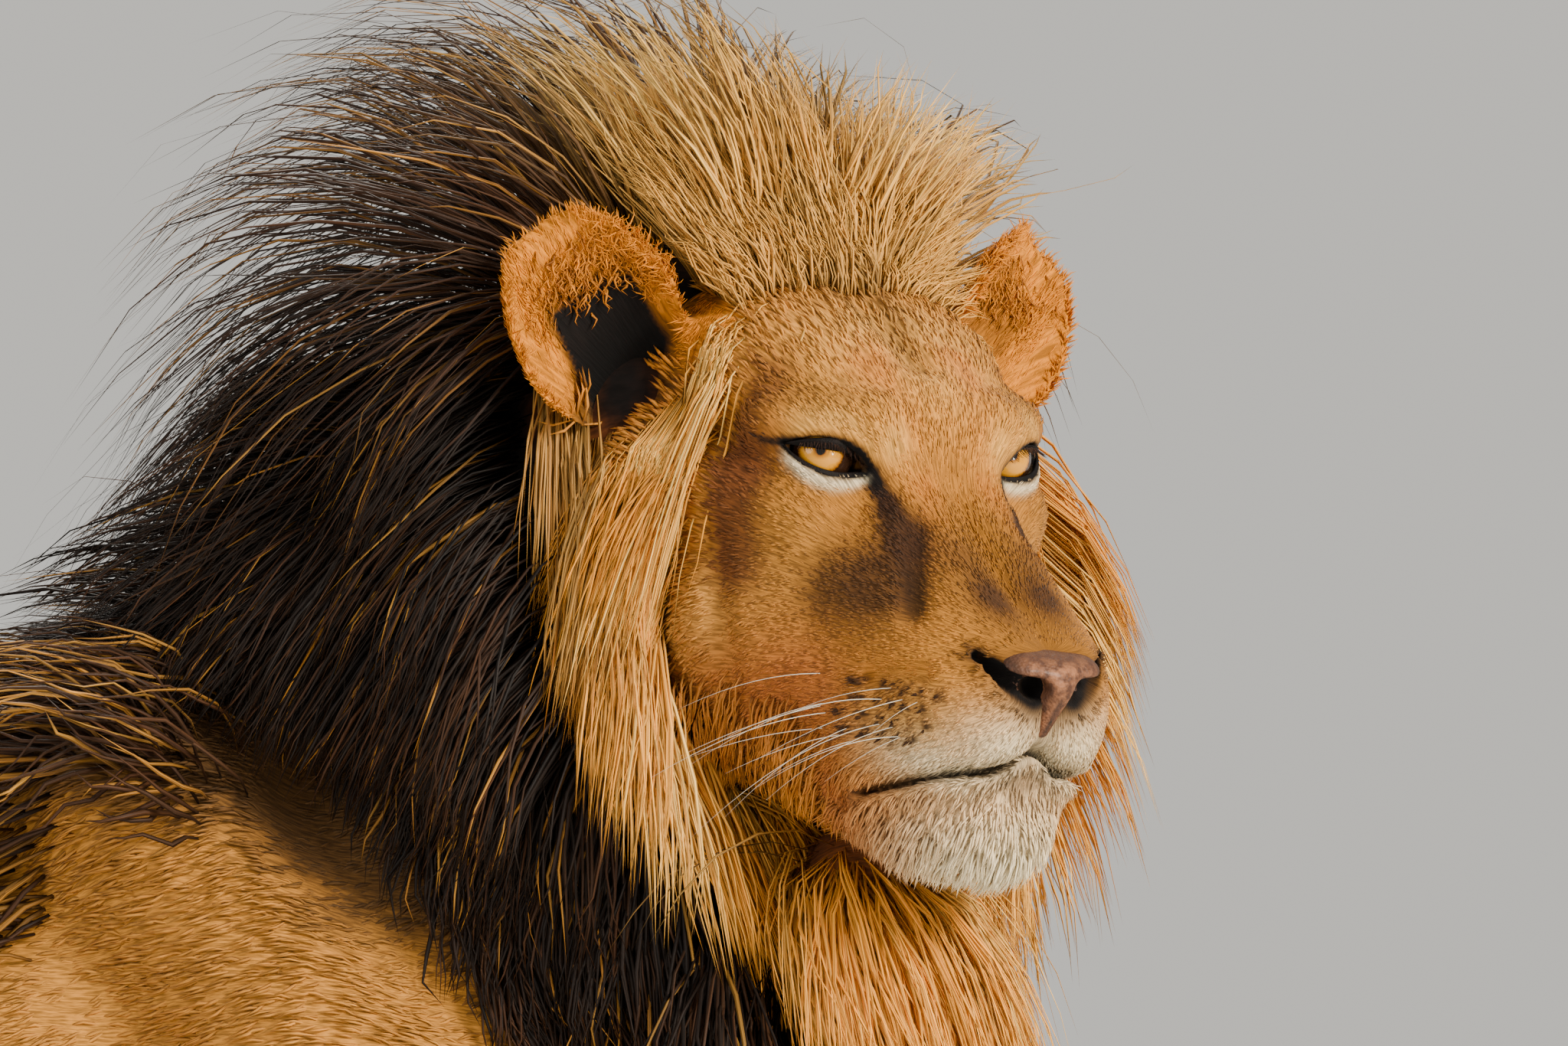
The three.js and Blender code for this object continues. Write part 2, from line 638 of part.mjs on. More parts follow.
function maneStyle(at, outward, random) {
  const local = at.clone().applyMatrix4(headFrameBack);
  const toHead = headLocalField(local);
  if (torsoField(at) < 4 || toHead < 6) return null;
  if (local.x > -30 && local.z > -190) return null;
  const earMiddle = V(EAR.back, (EAR.out + 20) * Math.sign(local.y), EAR.up + 30);
  if (local.x > EAR.back - 45 && local.distanceTo(earMiddle) < 88) return null;
  if (local.x > EAR.back + 20 && local.z > 0 && Math.abs(local.y) > 50) return null;
  const jitter = (a, b) => a + (b - a) * random();
  const crest = THREE.MathUtils.smoothstep(outward.z, 0.45, 0.85);
  const crown = crest * (1 - THREE.MathUtils.smoothstep(toHead, 60, 140));
  const rim = (1 - THREE.MathUtils.smoothstep(toHead, 20, 75)) * (1 - crest);
  const chest = 1 - THREE.MathUtils.smoothstep(at.z, 860, 980);
  const toShoulder = 1 - THREE.MathUtils.smoothstep(torsoField(at), 10, 60);
  const shoulder = at.z > 850 ? toShoulder * (1 - crest) : 0;
  const flow = V(-0.62, 0, -0.7);
  flow.addScaledVector(V(-0.2, 0, 1.1), crest - crown).addScaledVector(V(0.66, 0, -0.4), chest);
  if (crown > 0) flow.lerp(headDirection(-1, 0.25 * Math.sign(local.y), 0.25), crown);
  flow.addScaledVector(headDirection(0.5, 0, -1.2), rim);
  flow.add(V(jitter(-0.16, 0.16), jitter(-0.16, 0.16), jitter(-0.1, 0.1)));
  const front = crown * THREE.MathUtils.smoothstep(local.x, -250, -130);
  const nape = crest * (1 - crown) * THREE.MathUtils.smoothstep(at.x, 20, 110);
  return {
    apart: 68 - 21 * rim - 14 * crown,
    flow,
    length: jitter(128, 160) + 30 * chest - 10 * rim + 24 * crest + 30 * nape - 88 * front - 45 * shoulder,
    width: jitter(68, 84) - 20 * rim,
    thick: jitter(20, 25) - 3 * rim,
    lift: 0.75 + 1.1 * crest + 0.3 * crown + 0.75 * rim,
    droop: 0.5 - 0.5 * crest,
    twist: jitter(-0.3, 0.3),
  };
}
const maneRoots = rootsOver(neckField, neckSpine, 6000, 11, maneStyle, [-0.6, 2]);

// ---------- chest and withers ----------
function chestStyle(at, outward, random) {
  if (neckField(at) < 30) return null;
  const jitter = (a, b) => a + (b - a) * random();
  const withers = at.z > 960 && at.x > -210 && at.x < 20 && outward.z > 0.5;
  const behindBlade = at.z > 900 && at.x > -230 && at.x < -85 && !withers;
  const breast = at.z < 690 && at.x > -60 && Math.abs(at.y) < 80 && outward.z < -0.1;
  if (!withers && !behindBlade && !breast) return null;
  return {
    apart: 66,
    flow: breast ? V(-0.1, 0, -1) : V(-1, jitter(-0.3, 0.3), withers ? 0 : -0.8),
    length: breast ? jitter(90, 120) : jitter(95, 125),
    width: jitter(64, 76),
    thick: jitter(18, 22),
    lift: breast ? 0.9 : 0.65,
    droop: breast ? 0.6 : 0.15,
    twist: jitter(-0.25, 0.25),
  };
}
const chestRoots = rootsOver(torsoField, torsoSpine, 1800, 5, chestStyle, [0.5, 1.9]);

// ---------- legs ----------
const FORE = { elbow: [-5, 138, 640], wrist: [28, 122, 215], paw: [92, 120] };
const HIND = { knee: [-835, 132, 655], hock: [-1095, 128, 300], paw: [-1000, 128] };
const STANCE = { fore_left: -55, fore_right: 45, hind_left: 75, hind_right: -60 };

// Legs are given for the left side; shift moves the foot forward, for the stance.
function foreLegForms(side, shift) {
  const [ex, ey, ez] = FORE.elbow;
  const [wx, wy, wz] = FORE.wrist;
  const on = (x, y, z) => [x, y * side, z];
  const wrist = on(wx + shift * 0.75, wy, wz);
  return {
    elbowTop: { from: on(ex, ey, ez), to: on(ex + 8, ey - 2, ez - 90), r: [66, 68] },
    forearm: { from: on(ex + 10, ey - 4, ez - 80), to: wrist, r: [64, 43] },
    elbowPoint: { from: on(ex - 42, ey, ez - 10), to: on(ex - 10, ey - 4, ez - 150), r: [34, 38] },
    wristBone: { at: wrist, radii: [46, 45, 52] },
    pastern: { from: wrist, to: on(FORE.paw[0] - 42 + shift, FORE.paw[1], 84), r: [42, 44] },
  };
}

function hindLegForms(side, shift) {
  const [kx, ky, kz] = HIND.knee;
  const [hx, hy, hz] = [HIND.hock[0] + shift * 0.8, HIND.hock[1], HIND.hock[2]];
  const on = (x, y, z) => [x, y * side, z];
  return {
    kneeCap: { from: on(kx, ky, kz + 30), to: on(kx + 2, ky, kz - 45), r: [84, 62] },
    shank: { from: on(kx - 20, ky, kz - 20), to: on(hx + 20, hy, hz + 20), r: [74, 38] },
    calf: { from: on(kx - 95, ky - 4, kz + 10), to: on(kx - 165, ky, kz - 150), r: [58, 44] },
    heelCord: { from: on(kx - 160, ky, kz - 130), to: on(hx - 14, hy, hz + 10), r: [32, 26] },
    heel: { at: on(hx - 6, hy, hz), radii: [42, 36, 44] },
    hindCannon: { from: on(hx, hy, hz), to: on(HIND.paw[0] - 38 + shift, HIND.paw[1], 80), r: [38, 40] },
  };
}

// A paw: pad, knuckles and four toes that spread from the middle of the foot.
function pawForms(cx, cy, size) {
  const forms = {
    body: { at: [cx - 4 * size, cy, 44], radii: [70 * size, 60 * size, 44] },
    back: { at: [cx - 42 * size, cy, 62], radii: [44 * size, 46 * size, 62] },
    knuckles: { at: [cx + 22 * size, cy, 48], radii: [50 * size, 60 * size, 40] },
  };
  [-1.5, -0.5, 0.5, 1.5].forEach((k, i) => {
    const reachOut = (Math.abs(k) < 1 ? 88 : 70) * size;
    forms["toe" + i] = {
      from: [cx + 20 * size, cy + k * 30 * size, 42],
      to: [cx + reachOut, cy + k * 36 * size, 25],
      r: [25 * size, 24 * size],
      soft: 6,
    };
  });
  return forms;
}
const pawAngles = [
  ...[-66, -54, -45, -36, -27, -18, -9, 0, 9, 18, 27, 36, 45, 54, 66],
  ...[90, 120, 150, 180, 210, 240, 270],
];

const pieces = {};
function leg(name, forms, line, pawSize, [cx, cy]) {
  const field = blend(forms, 34);
  const options = {
    rings: ringList([90, 45], 13, [45, 90]),
    angles: evenAngles(12),
    reach: 150,
    up: V(1, 0, 0),
  };
  const limb = solid(wrap(field, line, options)).subtract(torsoGrown);
  const grown = solid(wrap(field, line, { ...options, level: GAP }));
  const pawBlend = blend(pawForms(cx, cy, pawSize), 20);
  const pawField = (p) => Math.max(pawBlend(p), -p.z);
  const pawLine = [
    [cx, cy, 20],
    [cx - 14 * pawSize, cy, 70],
  ];
  const pawOptions = {
    rings: [
      ...[-90, -50, -24].map((tilt) => [0, tilt]),
      ...[0.04, 0.34, 0.7].map((t) => [t, 0]),
      ...[12, 40, 90].map((tilt) => [1, tilt]),
    ],
    angles: pawAngles,
    reach: 150,
    step: 3,
    up: V(1, 0, 0),
    floor: 0,
  };
  pieces[name] = { limb, grown, paw: solid(wrap(pawField, pawLine, pawOptions)).subtract(grown) };
}
for (const side of [1, -1]) {
  const tag = side > 0 ? "left" : "right";
  const fore = foreLegForms(side, STANCE["fore_" + tag]);
  const hind = hindLegForms(side, STANCE["hind_" + tag]);
  const [ex, ey, ez] = FORE.elbow;
  const [kx, ky, kz] = HIND.knee;
  const foreLine = [
    [ex, ey * side, ez + 10],
    [ex + 8, (ey - 6) * side, ez - 140],
    fore.wristBone.at,
    fore.pastern.to,
  ];
  const hindLine = [
    [kx - 12, ky * side, kz + 30],
    [kx - 50, ky * side, kz - 95],
    [kx - 150, (ky - 2) * side, kz - 225],
    hind.heel.at,
    hind.hindCannon.to,
  ];
  const forePaw = [FORE.paw[0] + STANCE["fore_" + tag], FORE.paw[1] * side];
  const hindPaw = [HIND.paw[0] + STANCE["hind_" + tag], HIND.paw[1] * side];
  leg("foreleg_" + tag, fore, foreLine, 1.06, forePaw);
  leg("hindleg_" + tag, hind, hindLine, 0.96, hindPaw);
}

// ---------- tail ----------
const tailLine = [
  [-1105, 0, 905],
  [-1190, 0, 880],
  [-1262, 0, 780],
  [-1300, 0, 640],
  [-1312, 4, 480],
  [-1300, 10, 330],
  [-1310, 16, 205],
];
const tailCurve = new THREE.CatmullRomCurve3(tailLine.map(vec), false, "centripetal");
const tailRadius = (t) => 36 - 52 * t + 34 * t * t;
const tailField = (p) => {
  let best = 1e9;
  for (let i = 0; i <= 40; i++) {
    const t = i / 40;
    best = Math.min(best, tailCurve.getPoint(t).distanceTo(p) - tailRadius(t));
  }
  return best;
};
const tailOptions = {
  rings: ringList([90, 45], 16, [45, 90]),
  angles: evenAngles(9),
  reach: 60,
  step: 3,
  up: V(1, 0, 0),
};
const tailWhole = solid(wrap(tailField, tailLine, tailOptions)).subtract(torsoGrown);
const splitZ = tailCurve.getPoint(TAIL_SPLIT).z;
const below = (z) => solid(new THREE.BoxGeometry(700, 300, 900).translate(-1250, 0, z - 450));
const tailTop = tailWhole.subtract(below(splitZ + GAP / 2));
const tailEnd = tailWhole.intersect(below(splitZ - GAP / 2));
const tuftRandom = seeded(3);
const tuftRoots = [0.86, 0.86, 0.86, 0.93, 0.93, 0.93, 1, 1].map((t, i) => {
  const angle = radians(i * 120 + Math.floor(i / 3) * 60);
  const outward = V(Math.cos(angle), Math.sin(angle), 0);
  const at = tailCurve.getPoint(t).addScaledVector(outward, tailRadius(t));
  const size = { length: 112 + 26 * tuftRandom(), width: 44, thick: 20 };
  return { at, outward, flow: V(0.05, 0, -1), lift: 0.4, droop: 0.6, sink: 12, ...size };
});

// ---------- nodes ----------
const lockUnion = (roots, grow) => wasm.Manifold.union(roots.map((r) => lock(r, grow)));
const earShapes = {};
for (const side of [1, -1]) earShapes[side] = { real: solid(ear(side, 0)), grown: solid(ear(side, 3)) };
const forelegs = wasm.Manifold.union([pieces.foreleg_left.grown, pieces.foreleg_right.grown]);
const chestLocks = lockUnion(chestRoots, 0).subtract(neckCoreGrown).subtract(forelegs);
node("torso", torso.add(chestLocks), COLOURS.fur);
node("head", skull, COLOURS.fur);
node("jaw", jaw, COLOURS.jaw);
node("nose", nosePad, COLOURS.nose, 0.45);
for (const side of [1, -1]) {
  const tag = side > 0 ? "left" : "right";
  node("eye_" + tag, solid(placeOnHead(eyeball(side, EYE.radius))), COLOURS.eye, 0.1);
  node("ear_" + tag, earShapes[side].real.subtract(headGrown), COLOURS.ear);
  for (const end of ["foreleg_", "hindleg_"]) {
    node(end + tag, pieces[end + tag].limb, COLOURS.legs);
    node((end === "foreleg_" ? "forepaw_" : "hindpaw_") + tag, pieces[end + tag].paw, COLOURS.legs);
  }
}
const maneClear = wasm.Manifold.union([
  torsoGrown,
  headGrown,
  lockUnion(chestRoots, GAP),
  earShapes[1].grown,
  earShapes[-1].grown,
  forelegs,
]);
node("neck", neckCore.add(lockUnion(maneRoots, 0)).subtract(maneClear), COLOURS.mane);
node("tail_base", tailTop, COLOURS.tail);
node("tail_end", tailEnd.add(lockUnion(tuftRoots, 0)), COLOURS.mane);

const bounds = new THREE.Box3().setFromObject(root);
root.position.set(-(bounds.min.x + bounds.max.x) / 2, -(bounds.min.y + bounds.max.y) / 2, -bounds.min.z);
export default root;
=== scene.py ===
import math

import bpy
import numpy as np
import openvdb
from mathutils import Matrix, Vector, kdtree


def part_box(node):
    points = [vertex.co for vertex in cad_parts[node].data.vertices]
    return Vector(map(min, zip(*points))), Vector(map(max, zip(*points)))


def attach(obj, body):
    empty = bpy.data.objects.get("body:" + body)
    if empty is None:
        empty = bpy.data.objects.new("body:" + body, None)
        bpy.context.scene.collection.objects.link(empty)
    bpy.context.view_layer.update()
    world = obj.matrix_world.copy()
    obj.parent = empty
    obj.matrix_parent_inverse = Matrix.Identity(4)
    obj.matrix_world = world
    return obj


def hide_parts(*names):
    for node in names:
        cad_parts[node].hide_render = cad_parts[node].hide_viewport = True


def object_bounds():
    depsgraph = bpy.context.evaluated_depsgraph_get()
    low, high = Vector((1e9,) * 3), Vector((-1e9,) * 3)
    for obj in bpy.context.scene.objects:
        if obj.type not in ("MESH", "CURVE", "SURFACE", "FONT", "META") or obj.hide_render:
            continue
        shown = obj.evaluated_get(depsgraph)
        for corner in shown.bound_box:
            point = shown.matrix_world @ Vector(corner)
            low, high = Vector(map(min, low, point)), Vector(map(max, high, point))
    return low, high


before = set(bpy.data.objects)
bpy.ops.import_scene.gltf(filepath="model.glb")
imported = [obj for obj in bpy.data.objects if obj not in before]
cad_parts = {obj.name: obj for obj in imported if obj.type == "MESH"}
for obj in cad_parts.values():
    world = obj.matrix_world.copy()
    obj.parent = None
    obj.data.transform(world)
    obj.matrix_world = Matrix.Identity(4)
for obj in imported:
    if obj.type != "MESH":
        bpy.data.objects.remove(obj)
cadBox = [list(corner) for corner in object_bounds()]
print("frame loaded")

# The solid forms are given in millimetres on the body's own axes, or on the head's:
# x to the nose, y to the left, z up, from the point midway between the eyes.
metre = 0.001  # one millimetre in the scene's units
scene = bpy.context.scene


def turnAbout(axis, degrees):
    return np.array(Matrix.Rotation(math.radians(degrees), 3, axis))


pose = {"eyesAt": (430, -150, 1175), "yaw": -45, "pitch": 12, "roll": -2.4}
headTurn = turnAbout("Z", pose["yaw"]) @ turnAbout("Y", pose["pitch"]) @ turnAbout("X", pose["roll"])
eyesAt = np.array(pose["eyesAt"], float)


def middleOf(node):
    low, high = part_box(node)
    return (np.array(low) + np.array(high)) / 2


eyeMiddle = (middleOf("eye_left") + middleOf("eye_right")) / 2
eye = {"out": 62, "back": -13, "up": -2, "radius": 19, "yaw": 20, "pitch": -6}
eyeMean = np.array((eye["back"], 0, eye["up"])) @ headTurn.T + eyesAt
bodyShift = eyeMiddle / metre - eyeMean  # from the forms' axes to the frame's


def onHead(points):
    return np.asarray(points, float) @ headTurn.T + eyesAt


def inHead(points):
    return (points - eyesAt) @ headTurn


def smoothstep(value, low, high):
    t = np.clip((value - low) / (high - low), 0, 1)
    return t * t * (3 - 2 * t)


def unit(vectors):
    return vectors / np.maximum(np.linalg.norm(vectors, axis=-1, keepdims=True), 1e-9)


def lie(vectors, normals):
    flat = vectors - normals * np.sum(vectors * normals, axis=-1, keepdims=True)
    return unit(flat)


# ---- muscle forms: blobs {at, radii, pitch} and rods {from, to, r} ----
torsoForms = {
    "ribcage": {"at": (-150, 0, 795), "radii": (330, 162, 212)},
    "chest": {"at": (110, 0, 770), "radii": (165, 128, 175)},
    "breast": {"from": (150, 0, 660), "to": (-60, 0, 610), "r": (70, 62)},
    "belly": {"at": (-540, 0, 800), "radii": (330, 132, 165)},
    "loin": {"from": (-120, 0, 930), "to": (-900, 0, 925), "r": (82, 78)},
    "pelvis": {"at": (-910, 0, 850), "radii": (215, 128, 150)},
    "withers": {"from": (10, 40, 992), "to": (-170, 40, 982), "r": (50, 46), "mirror": True},
    "bladeBone": {"from": (-30, 96, 970), "to": (130, 126, 755), "r": (64, 88), "mirror": True},
    "upperArm": {"from": (125, 128, 735), "to": (5, 138, 640), "r": (86, 68), "mirror": True},
    "triceps": {"from": (-110, 105, 800), "to": (-10, 140, 650), "r": (72, 58), "mirror": True},
    "thigh": {"from": (-935, 88, 850), "to": (-835, 125, 680), "r": (128, 92), "mirror": True},
    "hamstring": {"from": (-1060, 70, 850), "to": (-960, 118, 660), "r": (82, 66), "mirror": True},
    "rump": {"at": (-1060, 48, 870), "radii": (85, 70, 85), "mirror": True},
}
neckForms = {
    "nape": {"from": (-60, 0, 1000), "to": onHead((-178, 0, -20)), "r": (74, 116)},
    "crown": {"from": onHead((-200, 0, 6)), "to": onHead((-162, 0, 12)), "r": (104, 74)},
    "side": {"from": (130, 0, 905), "to": onHead((-190, 0, -85)), "r": (150, 152)},
    "throat": {"from": (200, -15, 810), "to": onHead((-120, 0, -150)), "r": (132, 104)},
    "bib": {"from": (235, -28, 715), "to": onHead((8, 0, -242)), "r": (94, 60)},
    "ruffLeft": {"from": onHead((-208, 60, -5)), "to": onHead((-108, 72, -150)), "r": (92, 80)},
    "ruffRight": {"from": onHead((-208, -60, -5)), "to": onHead((-108, -72, -150)), "r": (92, 80)},
}
headForms = {
    "cranium": {"at": (-112, 0, 12), "radii": (112, 88, 68)},
    "forehead": {"at": (-48, 0, 6), "radii": (72, 72, 46)},
    "temple": {"at": (-105, 54, 14), "radii": (80, 44, 52), "mirror": True},
    "bridge": {"from": (-25, 18, -12), "to": (126, 20, -92), "r": (35, 25), "mirror": True},
    "maxilla": {"from": (-5, 42, -66), "to": (100, 36, -104), "r": (38, 31), "mirror": True},
    "cheekFill": {"from": (52, 44, -128), "to": (-50, 62, -104), "r": (36, 48), "mirror": True},
    "muzzle": {"at": (96, 0, -113), "radii": (62, 50, 46)},
    "whiskerPad": {"at": (108, 28, -125), "radii": (43, 28, 34), "mirror": True},
    "lipSide": {"from": (106, 38, -150), "to": (74, 50, -164), "r": (20, 22), "mirror": True},
    "cheekBone": {"from": (-22, 74, -36), "to": (-110, 90, -40), "r": (29, 40), "mirror": True},
    "masseter": {"at": (-62, 66, -108), "radii": (74, 44, 74), "mirror": True},
    "jawBone": {"from": (-80, 58, -146), "to": (84, 28, -184), "r": (38, 25), "mirror": True},
    "chin": {"at": (108, 0, -184), "radii": (38, 36, 27)},
    "chinFill": {"from": (100, 0, -164), "to": (-20, 0, -164), "r": (32, 44)},
    "browRidge": {"from": (2, 42, 20), "to": (-32, 84, 12), "r": (17, 17), "mirror": True, "soft": 18},
    "lidBulge": {"at": (-12, 62, -3), "radii": (25, 25, 22), "mirror": True, "soft": 12},
    "throatTop": {"at": (-90, 0, -125), "radii": (95, 66, 70)},
    "foreheadGroove": {"from": (-20, 0, 57), "to": (-110, 0, 92), "r": (9, 9), "carve": True, "soft": 16},
}
# Folds that only the finished skin has.
headFolds = {
    "muzzleFold": {"from": (54, 42, -26), "to": (85, 55, -68), "r": (3, 2), "mirror": True, "carve": True, "soft": 15},
    "padFold": {"from": (78, 68, -108), "to": (112, 60, -98), "r": (2, 1), "mirror": True, "carve": True, "soft": 12},
    "philtrum": {"from": (158, 0, -110), "to": (152, 0, -138), "r": (4, 3), "carve": True, "soft": 9},
    "cheekFold": {"from": (-38, 112, -60), "to": (-8, 106, -140), "r": (2, 2), "mirror": True, "carve": True, "soft": 16},
}
noseForms = {
    "pad": {"at": (143, 0, -88), "radii": (20, 35, 13)},
    "wing": {"at": (142, 20, -90), "radii": (16, 13, 11), "mirror": True},
    "septum": {"from": (154, 0, -95), "to": (148, 0, -120), "r": (11, 5)},
}
noseCuts = {
    "hole": {"from": (170, 19, -97), "to": (148, 12, -95), "r": (9, 7), "mirror": True, "carve": True, "soft": 4},
    "slit": {"from": (160, 20, -97), "to": (131, 39, -84), "r": (8, 5), "mirror": True, "carve": True, "soft": 4},
    "crease": {"from": (167, 0, -98), "to": (155, 0, -124), "r": (1.8, 2.4), "carve": True, "soft": 3},
}
fore = {"elbow": (-5, 138, 640), "wrist": (28, 122, 215), "paw": (92, 120), "size": 1.06}
hind = {"knee": (-835, 132, 655), "hock": (-1095, 128, 300), "paw": (-1000, 128), "size": 0.96}
stance = {("fore", 1): -55, ("fore", -1): 45, ("hind", 1): 75, ("hind", -1): -60}


def foreLegForms(side, shift):
    (ex, ey, ez), (wx, wy, wz) = fore["elbow"], fore["wrist"]
    wrist = (wx + shift * 0.75, wy * side, wz)
    pawBack = (fore["paw"][0] - 42 + shift, fore["paw"][1] * side, 84)
    return {
        "elbowTop": {"from": (ex, ey * side, ez), "to": (ex + 8, (ey - 2) * side, ez - 90), "r": (66, 68)},
        "forearm": {"from": (ex + 10, (ey - 4) * side, ez - 80), "to": wrist, "r": (64, 43)},
        "elbowPoint": {"from": (ex - 42, ey * side, ez - 10), "to": (ex - 10, (ey - 4) * side, ez - 150), "r": (34, 38)},
        "wristBone": {"at": wrist, "radii": (46, 45, 52)},
        "pastern": {"from": wrist, "to": pawBack, "r": (42, 44)},
    }


def hindLegForms(side, shift):
    kx, ky, kz = hind["knee"]
    hx, hy, hz = hind["hock"][0] + shift * 0.8, hind["hock"][1], hind["hock"][2]
    heel = (hx, hy * side, hz)
    pawBack = (hind["paw"][0] - 38 + shift, hind["paw"][1] * side, 80)
    return {
        "kneeCap": {"from": (kx, ky * side, kz + 30), "to": (kx + 2, ky * side, kz - 45), "r": (84, 62)},
        "shank": {"from": (kx - 20, ky * side, kz - 20), "to": (hx + 20, hy * side, hz + 20), "r": (74, 38)},
        "calf": {"from": (kx - 95, (ky - 4) * side, kz + 10), "to": (kx - 165, ky * side, kz - 150), "r": (58, 44)},
        "heelCord": {"from": (kx - 160, ky * side, kz - 130), "to": (hx - 14, hy * side, hz + 10), "r": (32, 26)},
        "heel": {"at": (hx - 6, hy * side, hz), "radii": (42, 36, 44)},
        "hindCannon": {"from": heel, "to": pawBack, "r": (38, 40)},
    }


def pawForms(cx, cy, size):
    forms = {
        "body": {"at": (cx - 4 * size, cy, 44), "radii": (70 * size, 60 * size, 44)},
        "back": {"at": (cx - 42 * size, cy, 62), "radii": (44 * size, 46 * size, 62)},
        "knuckles": {"at": (cx + 22 * size, cy, 48), "radii": (50 * size, 60 * size, 40)},
    }
    for k in (-1.5, -0.5, 0.5, 1.5):
        reach = (88 if abs(k) < 1 else 70) * size
        forms[f"toe{k}"] = {
            "from": (cx + 20 * size, cy + k * 30 * size, 42),
            "to": (cx + reach, cy + k * 36 * size, 25),
            "r": (25 * size, 24 * size),
            "soft": 6,
        }
    return forms


legs = {}
for (end, side), shift in stance.items():
    plan = fore if end == "fore" else hind
    forms = (foreLegForms if end == "fore" else hindLegForms)(side, shift)
    paw = (plan["paw"][0] + shift, plan["paw"][1] * side)
    legs[end, side] = {"forms": forms, "paw": paw, "pawForms": pawForms(*paw, plan["size"]), "size": plan["size"]}

tail = {
    "line": [
        (-1105, 0, 905), (-1190, 0, 880), (-1262, 0, 780), (-1300, 0, 640),
        (-1312, 4, 480), (-1300, 10, 330), (-1310, 16, 205),
    ],
    "radius": (36, -52, 34),  # thickness at t is the first, plus the second times t, plus the third times t squared
    "steps": 48,
}


def curveThrough(points, count):
    # A centripetal Catmull-Rom curve, sampled evenly over its spans.
    p = [np.array(q, float) for q in points]
    p = [2 * p[0] - p[1], *p, 2 * p[-1] - p[-2]]
    made = []
    for share in np.linspace(0, len(points) - 1, count):
        i = min(int(share), len(points) - 2)
        a, b, c, d = p[i : i + 4]
        gaps = [max(np.linalg.norm(v) ** 0.5, 1e-6) for v in (b - a, c - b, d - c)]
        startSlope = ((b - a) / gaps[0] - (c - a) / (gaps[0] + gaps[1]) + (c - b) / gaps[1]) * gaps[1]
        endSlope = ((c - b) / gaps[1] - (d - b) / (gaps[1] + gaps[2]) + (d - c) / gaps[2]) * gaps[1]
        t = share - i
        made.append(
            (2 * t**3 - 3 * t**2 + 1) * b + (t**3 - 2 * t**2 + t) * startSlope
            + (3 * t**2 - 2 * t**3) * c + (t**3 - t**2) * endSlope
        )
    return np.array(made)


tailPath = curveThrough(tail["line"], tail["steps"] + 1)
tailShare = np.linspace(0, 1, tail["steps"] + 1)
tailRadius = tail["radius"][0] + tail["radius"][1] * tailShare + tail["radius"][2] * tailShare**2
tailForms = {
    f"bone{i}": {"from": tailPath[i], "to": tailPath[i + 2], "r": (tailRadius[i], tailRadius[i + 2])}
    for i in range(0, tail["steps"], 2)
}


# ---- fields ----
def formDistance(form, x, y, z):
    across = np.abs(y) if form.get("mirror") else y
    if "radii" in form:
        dx, dy, dz = x - form["at"][0], across - form["at"][1], z - form["at"][2]
        a, b, h = form["radii"]
        near = np.sqrt((dx / a) ** 2 + (dy / b) ** 2 + (dz / h) ** 2)
        slope = np.sqrt((dx / a**2) ** 2 + (dy / b**2) ** 2 + (dz / h**2) ** 2)
        return near * (near - 1) / np.maximum(slope, 1e-6)
    (ax, ay, az), (bx, by, bz) = form["from"], form["to"]
    ex, ey, ez = bx - ax, by - ay, bz - az
    along = ((x - ax) * ex + (across - ay) * ey + (z - az) * ez) / (ex * ex + ey * ey + ez * ez)
    t = np.clip(along, 0, 1)
    radius = form["r"][0] + (form["r"][1] - form["r"][0]) * t
    return np.sqrt((x - ax - ex * t) ** 2 + (across - ay - ey * t) ** 2 + (z - az - ez * t) ** 2) - radius


def soften(a, b, k):
    h = np.maximum(k - np.abs(a - b), 0) / k
    return np.minimum(a, b) - h * h * k / 4


def blendForm(value, form, x, y, z, k):
    near = formDistance(form, x, y, z)
    soft = form.get("soft", k)
    return -soften(-value, near, soft) if form.get("carve") else soften(value, near, soft)


def fieldAt(forms, k, points):
    x, y, z = np.asarray(points, float).T
    value = np.full(len(x), 1e6)
    for form in forms.values():
        value = blendForm(value, form, x, y, z, k)
    return value


softness = {"torso": 55, "neck": 60, "head": 24, "leg": 34, "paw": 20, "nose": 9, "tail": 12}


def torsoAt(points):
    return fieldAt(torsoForms, softness["torso"], points)


def neckAt(points):
    return fieldAt(neckForms, softness["neck"], points)


def headAt(points):
    return fieldAt(headForms, softness["head"], inHead(points))


def newGrid(low, high, step):
    axes = [np.arange(a, b + step, step, dtype=np.float32) for a, b in zip(low, high)]
    return {"low": np.array(low, float), "step": step, "axes": axes}


def fillGrid(grid, forms, k, value=None):
    # Blends forms into a dense field, each one only where it can matter.
    axes, step = grid["axes"], grid["step"]
    if value is None:
        value = np.full([len(a) for a in axes], 400, np.float32)
    for form in forms.values():
        if "radii" in form:
            low = np.array(form["at"], float) - form["radii"]
            high = np.array(form["at"], float) + form["radii"]
        else:
            ends = np.array([form["from"], form["to"]], float)
            low, high = ends.min(0) - max(form["r"]), ends.max(0) + max(form["r"])
        if form.get("mirror"):
            low[1], high[1] = -high[1], high[1]
        margin = form.get("soft", k) + 3 * step
        cut = []
        for i in range(3):
            start = int(np.searchsorted(axes[i], low[i] - margin))
            stop = int(np.searchsorted(axes[i], high[i] + margin))
            cut.append(slice(start, max(stop, start)))
        cut = tuple(cut)
        x, y, z = axes[0][cut[0]][:, None, None], axes[1][cut[1]][None, :, None], axes[2][cut[2]][None, None, :]
        if min(x.size, y.size, z.size):
            value[cut] = blendForm(value[cut], form, x, y, z, k)
    return value


